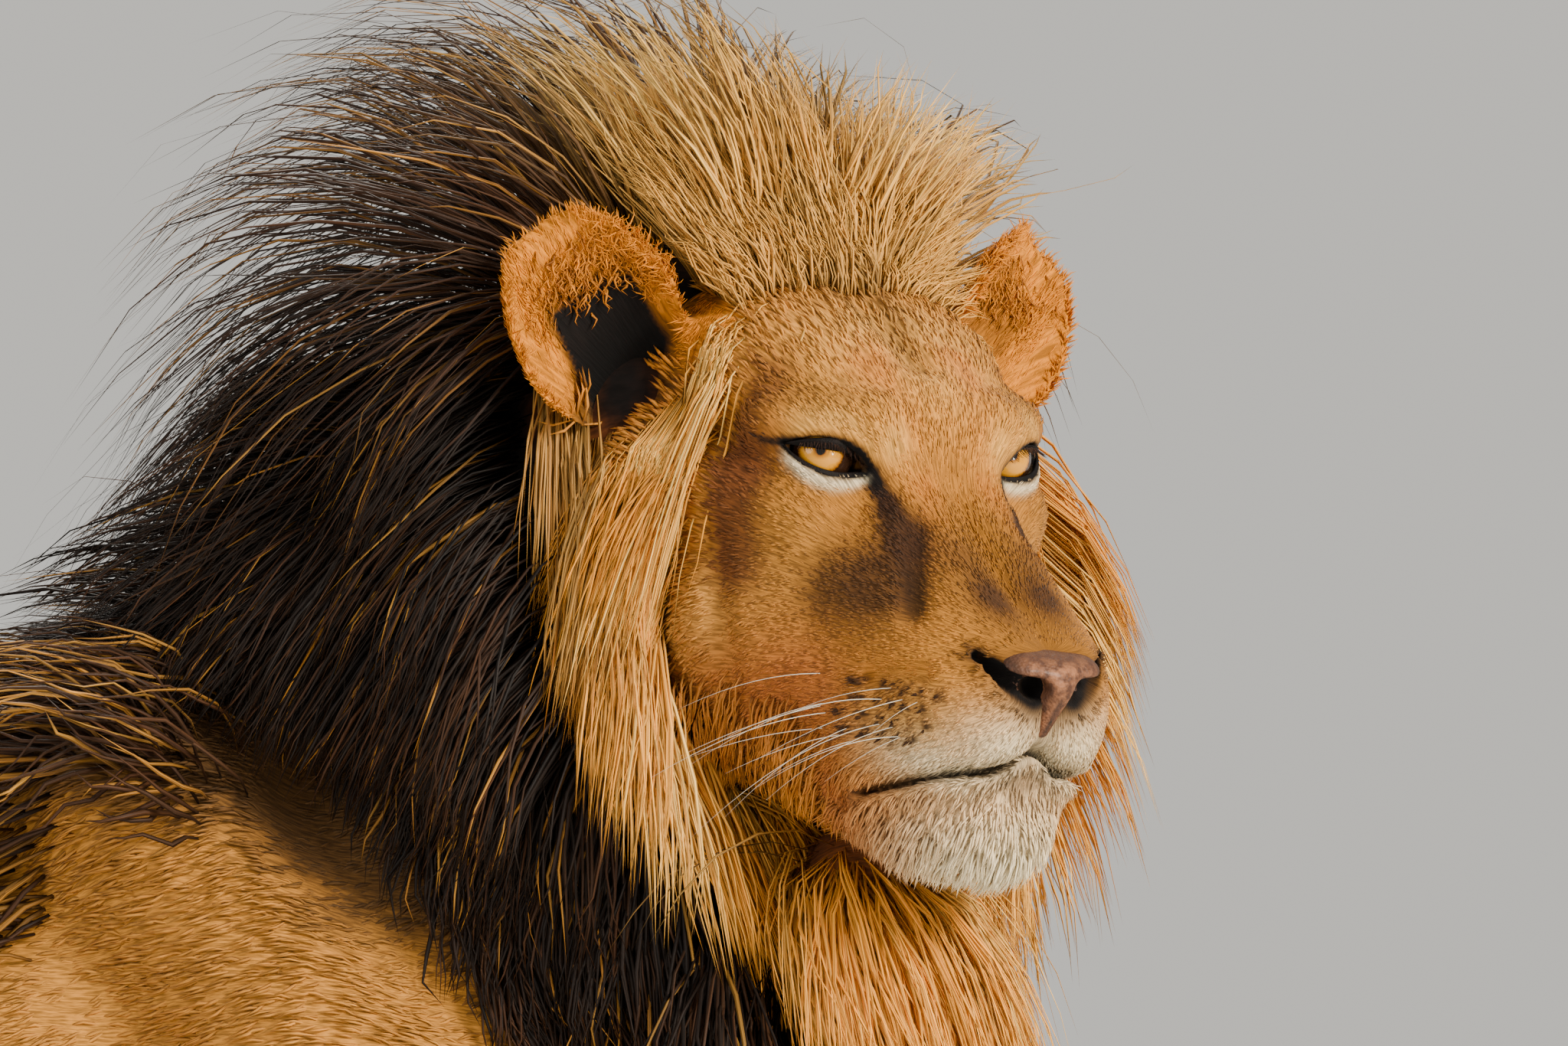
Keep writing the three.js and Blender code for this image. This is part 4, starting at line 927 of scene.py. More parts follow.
def makeNoseMaterial(values):
    # The leather's own tone, with darker blotches over it.
    material = mottledMaterial("noseLeather", values)
    tree = material.node_tree
    tone = tree.nodes.new("ShaderNodeAttribute")
    tone.attribute_name = "tone"
    spots = next(node for node in tree.nodes if node.bl_idname == "ShaderNodeGroup")
    link(tree, tone.outputs["Color"], spots.inputs["First"])
    return material


def mottledMaterial(name, values):
    material, tree, shader = newMaterial(name, Roughness=values["roughness"], Specular_IOR_Level=values["shine"])
    shader.inputs["Coat Weight"].default_value = values["wet"]
    shader.inputs["Coat Roughness"].default_value = 0.2
    place = tree.nodes.new("ShaderNodeTexCoord")
    spots = tree.nodes.new("ShaderNodeGroup")
    spots.node_tree = mottle
    link(tree, place.outputs["Object"], spots.inputs["Place"])
    spots.inputs["Patch Scale"].default_value = values["patch"]
    spots.inputs["Grain Scale"].default_value = values["grain"]
    spots.inputs["First"].default_value = (*linear(values["first"]), 1)
    spots.inputs["Second"].default_value = (*linear(values["second"]), 1)
    link(tree, spots.outputs["Color"], shader.inputs["Base Color"])
    addBump(tree, shader, spots.outputs["Height"], values["bump"], 0.0006)
    return material


finishes = {
    "skinFur": {
        "roughness": 0.8, "shine": 0.15, "sheen": 0.03, "bump": 0.5, "depth": 0.0012,
        "Hairs Across": 0.9, "Hairs Along": 0.08, "Dark": 0.55, "Light": 1.35,
    },
    "shortFur": {
        "roughness": 0.65, "shine": 0.18, "sheen": 0.02, "bump": 0.4, "depth": 0.0006,
        "Hairs Across": 1.3, "Hairs Along": 0.06, "Dark": 0.7, "Light": 1.3,
    },
    "longHair": {
        "roughness": 0.55, "shine": 0.2, "sheen": 0.0, "bump": 0.6, "depth": 0.0006,
        "Hairs Across": 1.7, "Hairs Along": 0.012, "Dark": 0.4, "Light": 1.6,
    },
}
leathers = {
    "noseLeather": {
        "roughness": 0.62, "shine": 0.3, "wet": 0.06, "patch": 190, "grain": 600, "first": "8a5b3e", "second": "4a2c1c", "bump": 0.9,
    },
    "lidLeather": {
        "roughness": 0.6, "shine": 0.12, "wet": 0.0, "patch": 160, "grain": 1200, "first": "080605", "second": "120b09", "bump": 0.4,
    },
    "clawHorn": {
        "roughness": 0.35, "shine": 0.5, "wet": 0.1, "patch": 220, "grain": 1500, "first": "a08a70", "second": "4a3a2c", "bump": 0.15,
    },
    "whiskerPale": {
        "roughness": 0.4, "shine": 0.5, "wet": 0.0, "patch": 300, "grain": 1500, "first": "e8dcc4", "second": "f4ecd8", "bump": 0.0,
    },
    "whiskerDark": {
        "roughness": 0.5, "shine": 0.3, "wet": 0.0, "patch": 300, "grain": 1500, "first": "1a100c", "second": "3a2418", "bump": 0.0,
    },
}
materials = {name: hairMaterial(name, values) for name, values in finishes.items()}
materials |= {name: mottledMaterial(name, values) for name, values in leathers.items() if name != "noseLeather"}
materials["noseLeather"] = makeNoseMaterial(leathers["noseLeather"])
print("materials made")


# ---- unwraps: where a root sits on a flat layout of the skin, from 0 to 1 each way ----
def legLine(end, side, z):
    # The middle of a leg at height z.
    forms = legs[end, side]["forms"]
    if end == "fore":
        marks = [forms["pastern"]["to"], forms["wristBone"]["at"], forms["elbowTop"]["from"]]
    else:
        marks = [forms["hindCannon"]["to"], forms["heel"]["at"], forms["calf"]["to"], forms["kneeCap"]["from"]]
    heights = [mark[2] for mark in marks]
    return np.interp(z, heights, [mark[0] for mark in marks]), np.interp(z, heights, [mark[1] for mark in marks])


def unwrapBody(points):
    # Returns the layout place, and how far across and along the coat a point lies in millimetres.
    x, y, z = points.T
    angle = np.arctan2(y, z - 790)
    place = np.stack([angle / (2 * np.pi) + 0.5, (x + 1400) / 1900 * 0.62], 1)
    lay = np.stack([angle * 160, x], 1)
    number = 0
    for (end, side) in legs:
        cx, cy = legLine(end, side, z)
        on = (z < 615) & (np.hypot(x - cx, y - cy) < 190) & (y * side > 0)
        turn = np.arctan2(y - cy, x - cx)
        place[on] = np.stack([0.25 * (number + 0.02 + 0.96 * (turn / (2 * np.pi) + 0.5)), 0.64 + z / 640 * 0.3], 1)[on]
        lay[on] = np.stack([turn * 50, z], 1)[on]
        number += 1
    onTail = (x < -1175) & (np.abs(y) < 70)
    nearest = np.clip(np.searchsorted(-tailPath[:, 2], -z), 0, len(tailPath) - 1)
    turn = np.arctan2(y - tailPath[nearest, 1], x - tailPath[nearest, 0])
    place[onTail] = np.stack([z / 950, 0.955 + 0.04 * (turn / (2 * np.pi) + 0.5)], 1)[onTail]
    lay[onTail] = np.stack([turn * 25, z], 1)[onTail]
    return place, lay


def unwrapHead(local):
    angle = np.arctan2(local[:, 1], local[:, 2] + 78)
    away = np.linalg.norm(local - np.array((165, 0, -90)), axis=1)
    place = np.stack([angle / (2 * np.pi) + 0.5, np.clip(away / 420, 0, 1)], 1)
    return place, np.stack([angle * 85, away], 1)


maneAxis = {"from": np.array((-40.0, 0.0, 800.0)), "to": onHead((-150, 0, -60))}


def unwrapMane(points):
    axis = unit(maneAxis["to"] - maneAxis["from"])
    left = unit(np.cross(np.array((0, 0, 1.0)), axis))
    top = np.cross(axis, left)
    away = points - maneAxis["from"]
    angle = np.arctan2(away @ left, away @ top)
    return np.stack([angle / (2 * np.pi) + 0.5, np.clip((away @ axis + 250) / 900, 0, 1)], 1)


# ---- growing hair ----
def scatter(points, quads, weight, count, random):
    # Roots spread at random over a skin, as thick as weight says.
    normals = faceNormals(points, quads)
    area = np.linalg.norm(normals, axis=1) / 2
    middle = points[quads].mean(1)
    normals = unit(normals)
    share = area * weight(middle, normals)
    chosen = random.choice(len(quads), size=count, p=share / share.sum())
    a, b = random.random(count), random.random(count)
    corners = points[quads[chosen]]
    low = corners[:, 0] + (corners[:, 1] - corners[:, 0]) * a[:, None]
    high = corners[:, 3] + (corners[:, 2] - corners[:, 3]) * a[:, None]
    roots = low + (high - low) * b[:, None]
    smooth = pointNormals(points, quads)
    return roots, unit(smooth[quads[chosen]].mean(1))


def growPaths(roots, normals, flow, style, stations):
    s = np.linspace(0, 1, stations) ** 0.92
    side = unit(np.cross(normals, flow))
    total = style["length"] + style["sink"]
    place = roots - normals * np.reshape(style["sink"], (-1, 1))
    paths = np.empty((len(roots), stations, 3))
    down = np.array((0, 0, -1.0))
    for i, share in enumerate(s):
        heading = normals * (style["rise"] + style["lift"] * (1 - share) ** 1.1)[:, None]
        heading = heading + flow * (0.25 + 0.9 * share)
        heading = heading + down * (style["droop"] * share**2)[:, None]
        heading = unit(heading + side * (style["twist"] * math.sin(3.1 * share))[:, None])
        if i:
            place = place + heading * (total * (share - s[i - 1]))[:, None]
        paths[:, i] = place
    wave = style.get("wave")
    if wave is not None:
        swing = np.sin(style["cycles"][:, None] * 2 * np.pi * s + style["phase"][:, None])
        paths += side[:, None, :] * (wave[:, None] * s * swing)[..., None]
    return paths


def gather(paths, guideCount, pull, random):
    # Draws neighbouring hairs together towards their tips, as locks do.
    guides = random.choice(len(paths), size=guideCount, replace=False)
    tree = kdtree.KDTree(guideCount)
    for i, guide in enumerate(guides):
        tree.insert(paths[guide, 0], i)
    tree.balance()
    nearest = guides[[tree.find(root)[1] for root in paths[:, 0]]]
    s = np.linspace(0, 1, paths.shape[1])
    away = paths[:, :1] - paths[nearest][:, :1]
    goal = paths[nearest] + away * 0.25
    weight = (pull[:, None] * s**1.3)[..., None]
    return paths + (goal - paths) * weight, nearest


def towardCamera(points):
    # The way to the camera from the near side of the head, and its mirror image on the far side.
    return np.where(inHead(points)[:, 1:2] > 0, (0.82, 0.573, 0), (0.82, -0.573, 0)) @ headTurn.T


def pushOut(paths, field, margin, straight=False):
    # Lifts hair out of the flesh beneath it, along its slope or straight to the camera.
    flat = paths[:, 1:].reshape(-1, 3)
    depth = field(flat)
    deep = np.where(depth < margin)[0]
    if len(deep):
        spots = flat[deep]
        step = 3.0
        slope = np.stack([field(spots + d) - field(spots - d) for d in np.eye(3) * step], 1)
        way = unit(slope)
        if straight:
            toward = towardCamera(spots)
            way = toward / np.maximum(np.sum(toward * way, 1), 0.4)[:, None]
        flat[deep] = spots + way * (margin - depth[deep])[:, None]
    paths[:, 1:] = flat.reshape(len(paths), -1, 3)
    return paths


def overEars(paths, inner=-0.85):
    # Which hairs would hang across the front of an ear.
    count, stations = paths.shape[:2]
    crossing = np.zeros(count, bool)
    for side in (1, -1):
        up, across, forward = earPlaces(inHead(paths.reshape(-1, 3)), side)
        there = (up > 0.03) & (up < 1.05) & (across * side > inner) & (across * side < 1.0) & (forward > 0.15) & (forward < 3)
        crossing |= there.reshape(count, stations).any(1)
    return crossing


def fallBy(roots, lean):
    # A fall that leans by this much in the camera's plane, and the same mirrored on the far side of the head.
    down = np.stack([0.985 * lean, 0.174 * lean, -np.ones(len(roots))], 1) @ headTurn
    return (down * np.where(inHead(roots)[:, 1:2] > 0, (1, -1, 1), 1)) @ headTurn.T


def hairObject(name, paths, normals, width, rootTone, tipTone, place, material, random, tipShare=0.55):
    count, stations = paths.shape[:2]
    s = np.linspace(0, 1, stations)
    heading = unit(np.gradient(paths, axis=1))
    across = unit(np.cross(heading, normals[:, None, :]))
    above = np.cross(across, heading)
    taper = np.minimum(1, 0.55 + 1.8 * s) * np.clip((1 - s) / tipShare, 0, 1) ** 0.75
    half = (width[:, None] * taper / 2)[..., None]
    rings = np.stack([paths + across * half, paths + above * half * 0.55, paths - across * half], 2)
    body = rings[:, :-1].reshape(count, -1, 3)
    points = np.concatenate([body, paths[:, -1:]], 1)
    per = 3 * (stations - 1) + 1
    faces = [(0, 1, 2)]
    for i in range(stations - 2):
        for j in range(3):
            a, b = 3 * i + j, 3 * i + (j + 1) % 3
            faces += [(a, a + 3, b + 3), (a, b + 3, b)]
    last = 3 * (stations - 2)
    faces += [(last + j, per - 1, last + (j + 1) % 3) for j in range(3)]
    faces = (np.array(faces)[None] + (np.arange(count) * per)[:, None, None]).reshape(-1, 3)
    share = np.append(np.repeat(s[:-1], 3), 1.0)
    corner = np.append(np.tile((0.0, 0.5, 1.0), stations - 1), 0.5)
    tone = rootTone[:, None] + (tipTone - rootTone)[:, None] * (share**0.8)[None, :, None]
    length = np.linalg.norm(np.diff(paths, axis=1), axis=2).sum(1)
    start = random.random((count, 2)) * 900
    lay = np.stack([start[:, :1] + corner * width[:, None], start[:, 1:] + share * length[:, None]], 2)
    patch = 0.0028
    bake = place[:, None] + np.stack([corner - 0.5, share - 0.5], 1)[None] * patch
    return meshObject(
        name, points.reshape(-1, 3), faces, material,
        uvs={"lie": lay.reshape(-1, 2), "OFBake": bake.reshape(-1, 2)},
        colours={"tone": tone.reshape(-1, 3)},
    )


def vary(tones, amount, random):
    # Each tuft is a little lighter or darker, and a little redder or paler, than its neighbours.
    light = 1 + amount * (random.random((len(tones), 1)) * 2 - 1)
    warm = 1 + 0.25 * amount * (random.random((len(tones), 1)) * 2 - 1) * np.array((1, 0, -1.0))
    return tones * light * warm


def between(random, low, high, count):
    return low + (high - low) * random.random(count)


def hairStyle(random, count, length, lift, droop=0.0, twist=0.3, sink=2.0, rise=0.05, wave=None, cycles=1.5):
    style = {
        "length": np.broadcast_to(np.asarray(length, float), count),
        "lift": np.broadcast_to(np.asarray(lift, float), count),
        "rise": np.broadcast_to(np.asarray(rise, float), count),
        "droop": np.broadcast_to(np.asarray(droop, float), count),
        "twist": between(random, -1, 1, count) * twist,
        "sink": np.broadcast_to(np.asarray(sink, float), count),
    }
    if wave is not None:
        style["wave"] = np.asarray(wave, float) * np.ones(count)
        style["cycles"] = cycles * between(random, 0.7, 1.3, count)
        style["phase"] = between(random, 0, 2 * np.pi, count)
    return style


# ---- the skin, made ----
random = np.random.default_rng(7)
bodyPoints, bodyQuads = makeBodySkin()
bodyNormals = pointNormals(bodyPoints, bodyQuads)
headPoints, headQuads = makeHeadSkin()
headNormals = pointNormals(headPoints, headQuads)
headLocal = inHead(headPoints)


def makeSkins():
    bodySkin = meshObject(
        "bodySkin", bodyPoints, bodyQuads, materials["skinFur"],
        uvs={"lie": unwrapBody(bodyPoints)[1]}, colours={"tone": bodyTone(bodyPoints, bodyNormals) * 0.9},
    )
    hidden = 1 - smoothstep(neckAt(headPoints), -20, 5)
    tones = faceTone(headLocal) * 0.8
    tones = tones * (1 - (0.75 - 0.4 * smoothstep(headLocal[:, 2], 40, 80)) * hidden * (headLocal[:, 0] < -60))[:, None]
    headSkin = meshObject(
        "headSkin", headPoints, headQuads, materials["skinFur"],
        uvs={"lie": unwrapHead(headLocal)[1]}, colours={"tone": tones},
    )
    return bodySkin, headSkin


bodySkin, headSkin = makeSkins()
print("skin made")


# ---- eyes ----
iris = {
    "gazeYaw": {-1: -81, 1: -57}, "gazePitch": 9, "radius": 13.6, "bulge": 1.5, "rings": 48, "around": 64,
    "amber": "cf8c14", "amberDeep": "8f5509", "edge": "2a160a", "white": "2b1a10",
}


def makeEyeMaterial():
    material, tree, shader = newMaterial("eyeWet", Roughness=0.2, Specular_IOR_Level=0.25)
    shader.inputs["Coat Weight"].default_value = 0.5
    shader.inputs["Coat Roughness"].default_value = 0.02
    place = tree.nodes.new("ShaderNodeAttribute")
    place.attribute_name = "irisPlace"
    away = tree.nodes.new("ShaderNodeVectorMath")
    away.operation = "LENGTH"
    link(tree, place.outputs["Vector"], away.inputs[0])
    around = tree.nodes.new("ShaderNodeVectorMath")
    around.operation = "NORMALIZE"
    link(tree, place.outputs["Vector"], around.inputs[0])
    fibres = tree.nodes.new("ShaderNodeTexNoise")
    fibres.inputs["Scale"].default_value = 14
    fibres.inputs["Detail"].default_value = 3
    link(tree, around.outputs[0], fibres.inputs["Vector"])
    wobble = mathNode(tree, "MULTIPLY", mathNode(tree, "SUBTRACT", fibres.outputs["Fac"], 0.5), 0.16)
    ramp = tree.nodes.new("ShaderNodeValToRGB")
    link(tree, mathNode(tree, "MULTIPLY", mathNode(tree, "ADD", away.outputs["Value"], wobble), 0.5), ramp.inputs[0])
    stops = [
        (0.0, "050302"), (0.09, "060403"), (0.107, iris["amberDeep"]), (0.2, iris["amber"]), (0.4, iris["amber"]),
        (0.47, iris["amberDeep"]), (0.5, iris["edge"]), (0.54, iris["white"]), (1.0, iris["white"]),
    ]
    while len(ramp.color_ramp.elements) < len(stops):
        ramp.color_ramp.elements.new(0.5)
    for element, (position, code) in zip(ramp.color_ramp.elements, stops):
        element.position = position
        element.color = (*linear(code), 1)
    link(tree, ramp.outputs["Color"], shader.inputs["Base Color"])
    return material


def makeEye(side, material):
    centre = onHead((eye["back"], eye["out"] * side, eye["up"]))
    gaze = turnAbout("Z", iris["gazeYaw"][side]) @ turnAbout("Y", -iris["gazePitch"])
    limit = math.asin(iris["radius"] / eye["radius"])
    sections, places = [], []
    for i in range(1, iris["rings"]):
        bow = math.pi * i / iris["rings"]
        swell = iris["bulge"] * max(0, math.cos(min(bow / limit, 1.3) * math.pi / 2)) ** 1.0
        radius = eye["radius"] - 0.9 + swell
        turns = np.linspace(0, 2 * np.pi, iris["around"], endpoint=False)
        ring = np.stack([np.full_like(turns, math.cos(bow)), math.sin(bow) * np.cos(turns), math.sin(bow) * np.sin(turns)], 1)
        sections.append(ring * radius)
        reach = math.sin(min(bow, math.pi / 2)) * eye["radius"] / iris["radius"] + max(0, bow - math.pi / 2)
        places.append(np.stack([np.cos(turns), np.sin(turns), 0 * turns], 1) * reach)
    points, faces = loft(np.array(sections))
    points[-2] = (eye["radius"] - 0.9 + iris["bulge"], 0, 0)
    points[-1] = (-(eye["radius"] - 0.9), 0, 0)
    flat = np.vstack([np.concatenate(places), [(0, 0, 0)], [(3, 0, 0)]])
    points = points @ gaze.T + centre
    made = meshObject("eyeRight" if side < 0 else "eyeLeft", points, faces, material, vectors={"irisPlace": flat})
    return made


eyeMaterial = makeEyeMaterial()
eyes = {side: makeEye(side, eyeMaterial) for side in (1, -1)}

lidValues = {
    "half": 24.5, "upperEdge": {-1: 5.0, 1: 8.6}, "lowerEdge": 6.4, "upperBand": {-1: 6.2, 1: 2.2}, "lowerBand": 2.4,
    "thick": 0.9, "lift": 0.7, "steps": 44,
}


def lidSurface(side, a, b, lift):
    # The lids ride on the eyeball in the middle and run out flat towards the corners.
    centre, turn = lidFrame(side)
    reach = np.hypot(a, b)
    radius = eye["radius"] + lift
    out = radius * np.cos(np.minimum(reach / radius, 1.35) * 0.93)
    return onHead(centre + np.stack([out, a, b], -1) @ turn.T)


def makeLid(side, upper):
    v = lidValues
    share = np.linspace(-1, 1, v["steps"])
    a = share * v["half"]
    bow = (1 - share**2) ** 0.8
    if upper:
        edge, band, way = v["upperEdge"][side] * bow * (1 - 0.62 * share), v["upperBand"][side] * bow + 0.6, 1
    else:
        edge, band, way = v["lowerEdge"] * bow * (1 + 0.15 * share), v["lowerBand"] * bow + 0.6, -1
    sections = []
    profile = [
        (1.0, 2.6, 1), (0.66, 1.9, 1), (0.33, 1.0, 1), (0.1, 0.6, 1), (0.0, 0.1, 1),
        (0.0, -0.55, 1), (0.1, -1.0, 1), (0.5, -1.0, 1), (1.0, 0.2, 1),
    ]
    for out, deep, _ in profile:
        sections.append(lidSurface(side, a, way * (edge + band * out), v["lift"] + v["thick"] * deep * (0.35 + 0.65 * bow)))
    rings = np.stack(sections, 1)
    points, faces = loft(rings)
    if (upper and side > 0) or (not upper and side < 0):
        faces = faces[:, ::-1]
    return points, faces


def makeLids(side):
    points, faces, count = [], [], 0
    for upper in (True, False):
        more, corners = makeLid(side, upper)
        points.append(more)
        faces.append(corners + count)
        count += len(more)
    return meshObject(
        "lidsRight" if side < 0 else "lidsLeft", np.vstack(points), np.vstack(faces), materials["lidLeather"]
    )


lids = {side: makeLids(side) for side in (1, -1)}


# ---- nose ----
def makeNose():
    grid = newGrid((116, -56, -136), (176, 56, -62), skin["noseStep"])
    value = fillGrid(grid, noseForms, softness["nose"]) + 0.5
    value = fillGrid(grid, noseCuts, 4, value)
    points, quads = surfaceOf(grid, value)
    there = points * (1, 1, 1)
    there[:, 1] = np.abs(there[:, 1])
    tone = np.tile(linear("95603f"), (len(there), 1))
    tone = blendTo(tone, "umber", 0.8 * smoothstep(there[:, 2], -84, -76))
    tone = blendTo(tone, "umber", smoothstep(there[:, 1], 20, 30))
    # Black in the nostril: painted shade of its depth.
    tone = blendTo(tone, "black", 1.3 * nearLine(there, (160, 16, -98), (130, 40, -84), (10, 8)))
    tone = blendTo(tone, "black", 0.8 * smoothstep(-there[:, 2], 104, 118) * smoothstep(there[:, 1], 2, 7))
    tone = blendTo(tone, "black", np.exp(-((there[:, 1] / 2.2) ** 2)) * smoothstep(-there[:, 2], 94, 104))
    return meshObject("nosePad", onHead(points), quads, materials["noseLeather"], colours={"tone": tone})


nose = makeNose()
print("eyes, lids and nose made")


# ---- bristles: whiskers, lashes and claws, drawn as lines and given their thickness by nodes ----
bristle = {
    "whiskers": {"sides": 5, "thickness": 0.34, "stations": 14, "length": (75, 140), "dark": 0.18},
    "lashes": {"sides": 4, "thickness": 0.3, "stations": 6, "count": 46, "length": (6, 10)},
    "claws": {"sides": 10, "thickness": 3.4, "stations": 7, "length": 15},
}


def makeBristleTree():
    tree = bpy.data.node_groups.new("bristles", "GeometryNodeTree")
    sockets = [
        ("Geometry", "INPUT", "NodeSocketGeometry"), ("Thickness", "INPUT", "NodeSocketFloat"),
        ("Sides", "INPUT", "NodeSocketInt"), ("Material", "INPUT", "NodeSocketMaterial"),
        ("Geometry", "OUTPUT", "NodeSocketGeometry"),
    ]
    for name, way, kind in sockets:
        tree.interface.new_socket(name=name, in_out=way, socket_type=kind)
    given, out = tree.nodes.new("NodeGroupInput"), tree.nodes.new("NodeGroupOutput")
    toCurve = tree.nodes.new("GeometryNodeMeshToCurve")
    taper = tree.nodes.new("GeometryNodeInputNamedAttribute")
    taper.data_type = "FLOAT"
    taper.inputs["Name"].default_value = "taper"
    radius = tree.nodes.new("GeometryNodeSetCurveRadius")
    profile = tree.nodes.new("GeometryNodeCurvePrimitiveCircle")
    sweep = tree.nodes.new("GeometryNodeCurveToMesh")
    sweep.inputs["Fill Caps"].default_value = True
    smooth = tree.nodes.new("GeometryNodeSetShadeSmooth")
    real = tree.nodes.new("GeometryNodeRealizeInstances")
    paint = tree.nodes.new("GeometryNodeSetMaterial")
    link(tree, given.outputs["Geometry"], toCurve.inputs[0])
    link(tree, toCurve.outputs[0], radius.inputs["Curve"])
    link(tree, taper.outputs["Attribute"], radius.inputs["Radius"])
    link(tree, given.outputs["Sides"], profile.inputs["Resolution"])
    link(tree, given.outputs["Thickness"], profile.inputs["Radius"])
    link(tree, radius.outputs[0], sweep.inputs["Curve"])
    link(tree, profile.outputs[0], sweep.inputs["Profile Curve"])
    if "Scale" in sweep.inputs:
        link(tree, taper.outputs["Attribute"], sweep.inputs["Scale"])
    link(tree, sweep.outputs[0], smooth.inputs["Geometry"])
    link(tree, smooth.outputs[0], real.inputs["Geometry"])
    link(tree, real.outputs[0], paint.inputs["Geometry"])
    link(tree, given.outputs["Material"], paint.inputs["Material"])
    link(tree, paint.outputs[0], out.inputs["Geometry"])
    return tree


bristleTree = makeBristleTree()


def makeBristles(name, paths, values, material):
    # paths are in millimetres on the body's axes, each from its root to its tip.
    count, stations = paths.shape[:2]
    data = bpy.data.meshes.new(name + "Lines")
    edges = [(i * stations + j, i * stations + j + 1) for i in range(count) for j in range(stations - 1)]
    data.from_pydata(((paths.reshape(-1, 3) + bodyShift) * metre).tolist(), edges, [])
    taper = data.attributes.new("taper", "FLOAT", "POINT")
    taper.data.foreach_set("value", np.tile(np.linspace(1, 0.06, stations) ** 0.8, count).astype(np.float32))
    lines = bpy.data.objects.new(name + "Lines", data)
    scene.collection.objects.link(lines)
    modifier = lines.modifiers.new("bristles", "NODES")
    modifier.node_group = bristleTree
    chosen = {"Thickness": values["thickness"] * metre, "Sides": values["sides"], "Material": material}
    for item in bristleTree.interface.items_tree:
        if item.item_type == "SOCKET" and item.in_out == "INPUT" and item.name in chosen:
            modifier[item.identifier] = chosen[item.name]
    graph = bpy.context.evaluated_depsgraph_get()
    made = bpy.data.meshes.new_from_object(lines.evaluated_get(graph))
    made.name = name
    bpy.data.objects.remove(lines)
    thing = bpy.data.objects.new(name, made)
    scene.collection.objects.link(thing)
    return thing


def whiskerPaths(side, seed):
    random = np.random.default_rng(seed)
    v = bristle["whiskers"]
    roots = whiskerSpots()
    roots = roots[random.random(len(roots)) < 0.85]
    s = np.linspace(0, 1, v["stations"])[:, None]
    paths = []
    for root in roots:
        back = (130 - root[0]) / 60
        length = between(random, *v["length"], 1)[0] * (0.6 + 0.4 * back)
        way = unit(np.array((-0.42 - 0.3 * back, 0.85, -0.12)) + (random.random(3) - 0.5) * 0.34)
        bend = np.array((-0.4, -0.2, -0.36 - 0.4 * random.random()))
        start = root + unit(np.array((0, 1.0, 0))) * 4
        paths.append(start + length * (way * s + bend * s**2.2))
    paths = np.array(paths)
    paths[..., 1] *= side
    return onHead(paths)


def lashPaths(side, seed):
    random = np.random.default_rng(seed)
    v = bristle["lashes"]
    s = np.linspace(0, 1, v["stations"])[:, None]
    paths = []
    for i in range(v["count"]):
        share = -0.85 + 1.6 * (i + random.random()) / v["count"]
        bow = (1 - share**2) ** 0.8
        a = share * lidValues["half"]
        b = lidValues["upperEdge"][side] * bow * (1 - 0.62 * share) + (0.25 + 0.7 * random.random()) * lidValues["upperBand"][side] * bow
        centre, turn = lidFrame(side)
        reach = math.hypot(a, b)
        radius = eye["radius"] + 1.6
        start = np.array((radius * math.cos(min(reach / radius, 1.35) * 0.93), a, b))
        way = unit(np.array((0.75, 0.25 * share + 0.3 * (random.random() - 0.5), -0.75)))
        length = between(random, *v["length"], 1)[0]
        paths.append(centre + (start + length * (way * s + np.array((0, 0, 0.25)) * s**2)) @ turn.T)
    return onHead(np.array(paths))


def clawPaths():
    v = bristle["claws"]
    s = np.linspace(0, 1, v["stations"])[:, None]
    paths = []
    for leg in legs.values():
        for name, form in leg["pawForms"].items():
            if name.startswith("toe"):
                tip = np.array(form["to"], float) + np.array((form["r"][1] * 0.72, 0, 6))
                spread = np.array((1.0, (form["to"][1] - leg["paw"][1]) / 160, 0))
                paths.append(tip + v["length"] * (spread * s * (1 - 0.25 * s) + np.array((0, 0, -0.75)) * s**2))
    return np.array(paths)


whiskers = []
for side in (1, -1):
    allPaths = whiskerPaths(side, 61 + side)
    darkOnes = np.random.default_rng(63 + side).random(len(allPaths)) < bristle["whiskers"]["dark"]
    name = "Right" if side < 0 else "Left"
    whiskers.append((makeBristles("whiskers" + name, allPaths[~darkOnes], bristle["whiskers"], materials["whiskerPale"]), "chin"))
    whiskers.append((makeBristles("darkWhiskers" + name, allPaths[darkOnes], bristle["whiskers"], materials["whiskerDark"]), "mane"))
    whiskers.append((makeBristles("lashes" + name, lashPaths(side, 65 + side), bristle["lashes"], materials["whiskerDark"]), "mane"))
claws = makeBristles("claws", clawPaths(), bristle["claws"], materials["clawHorn"])
print("bristles made")


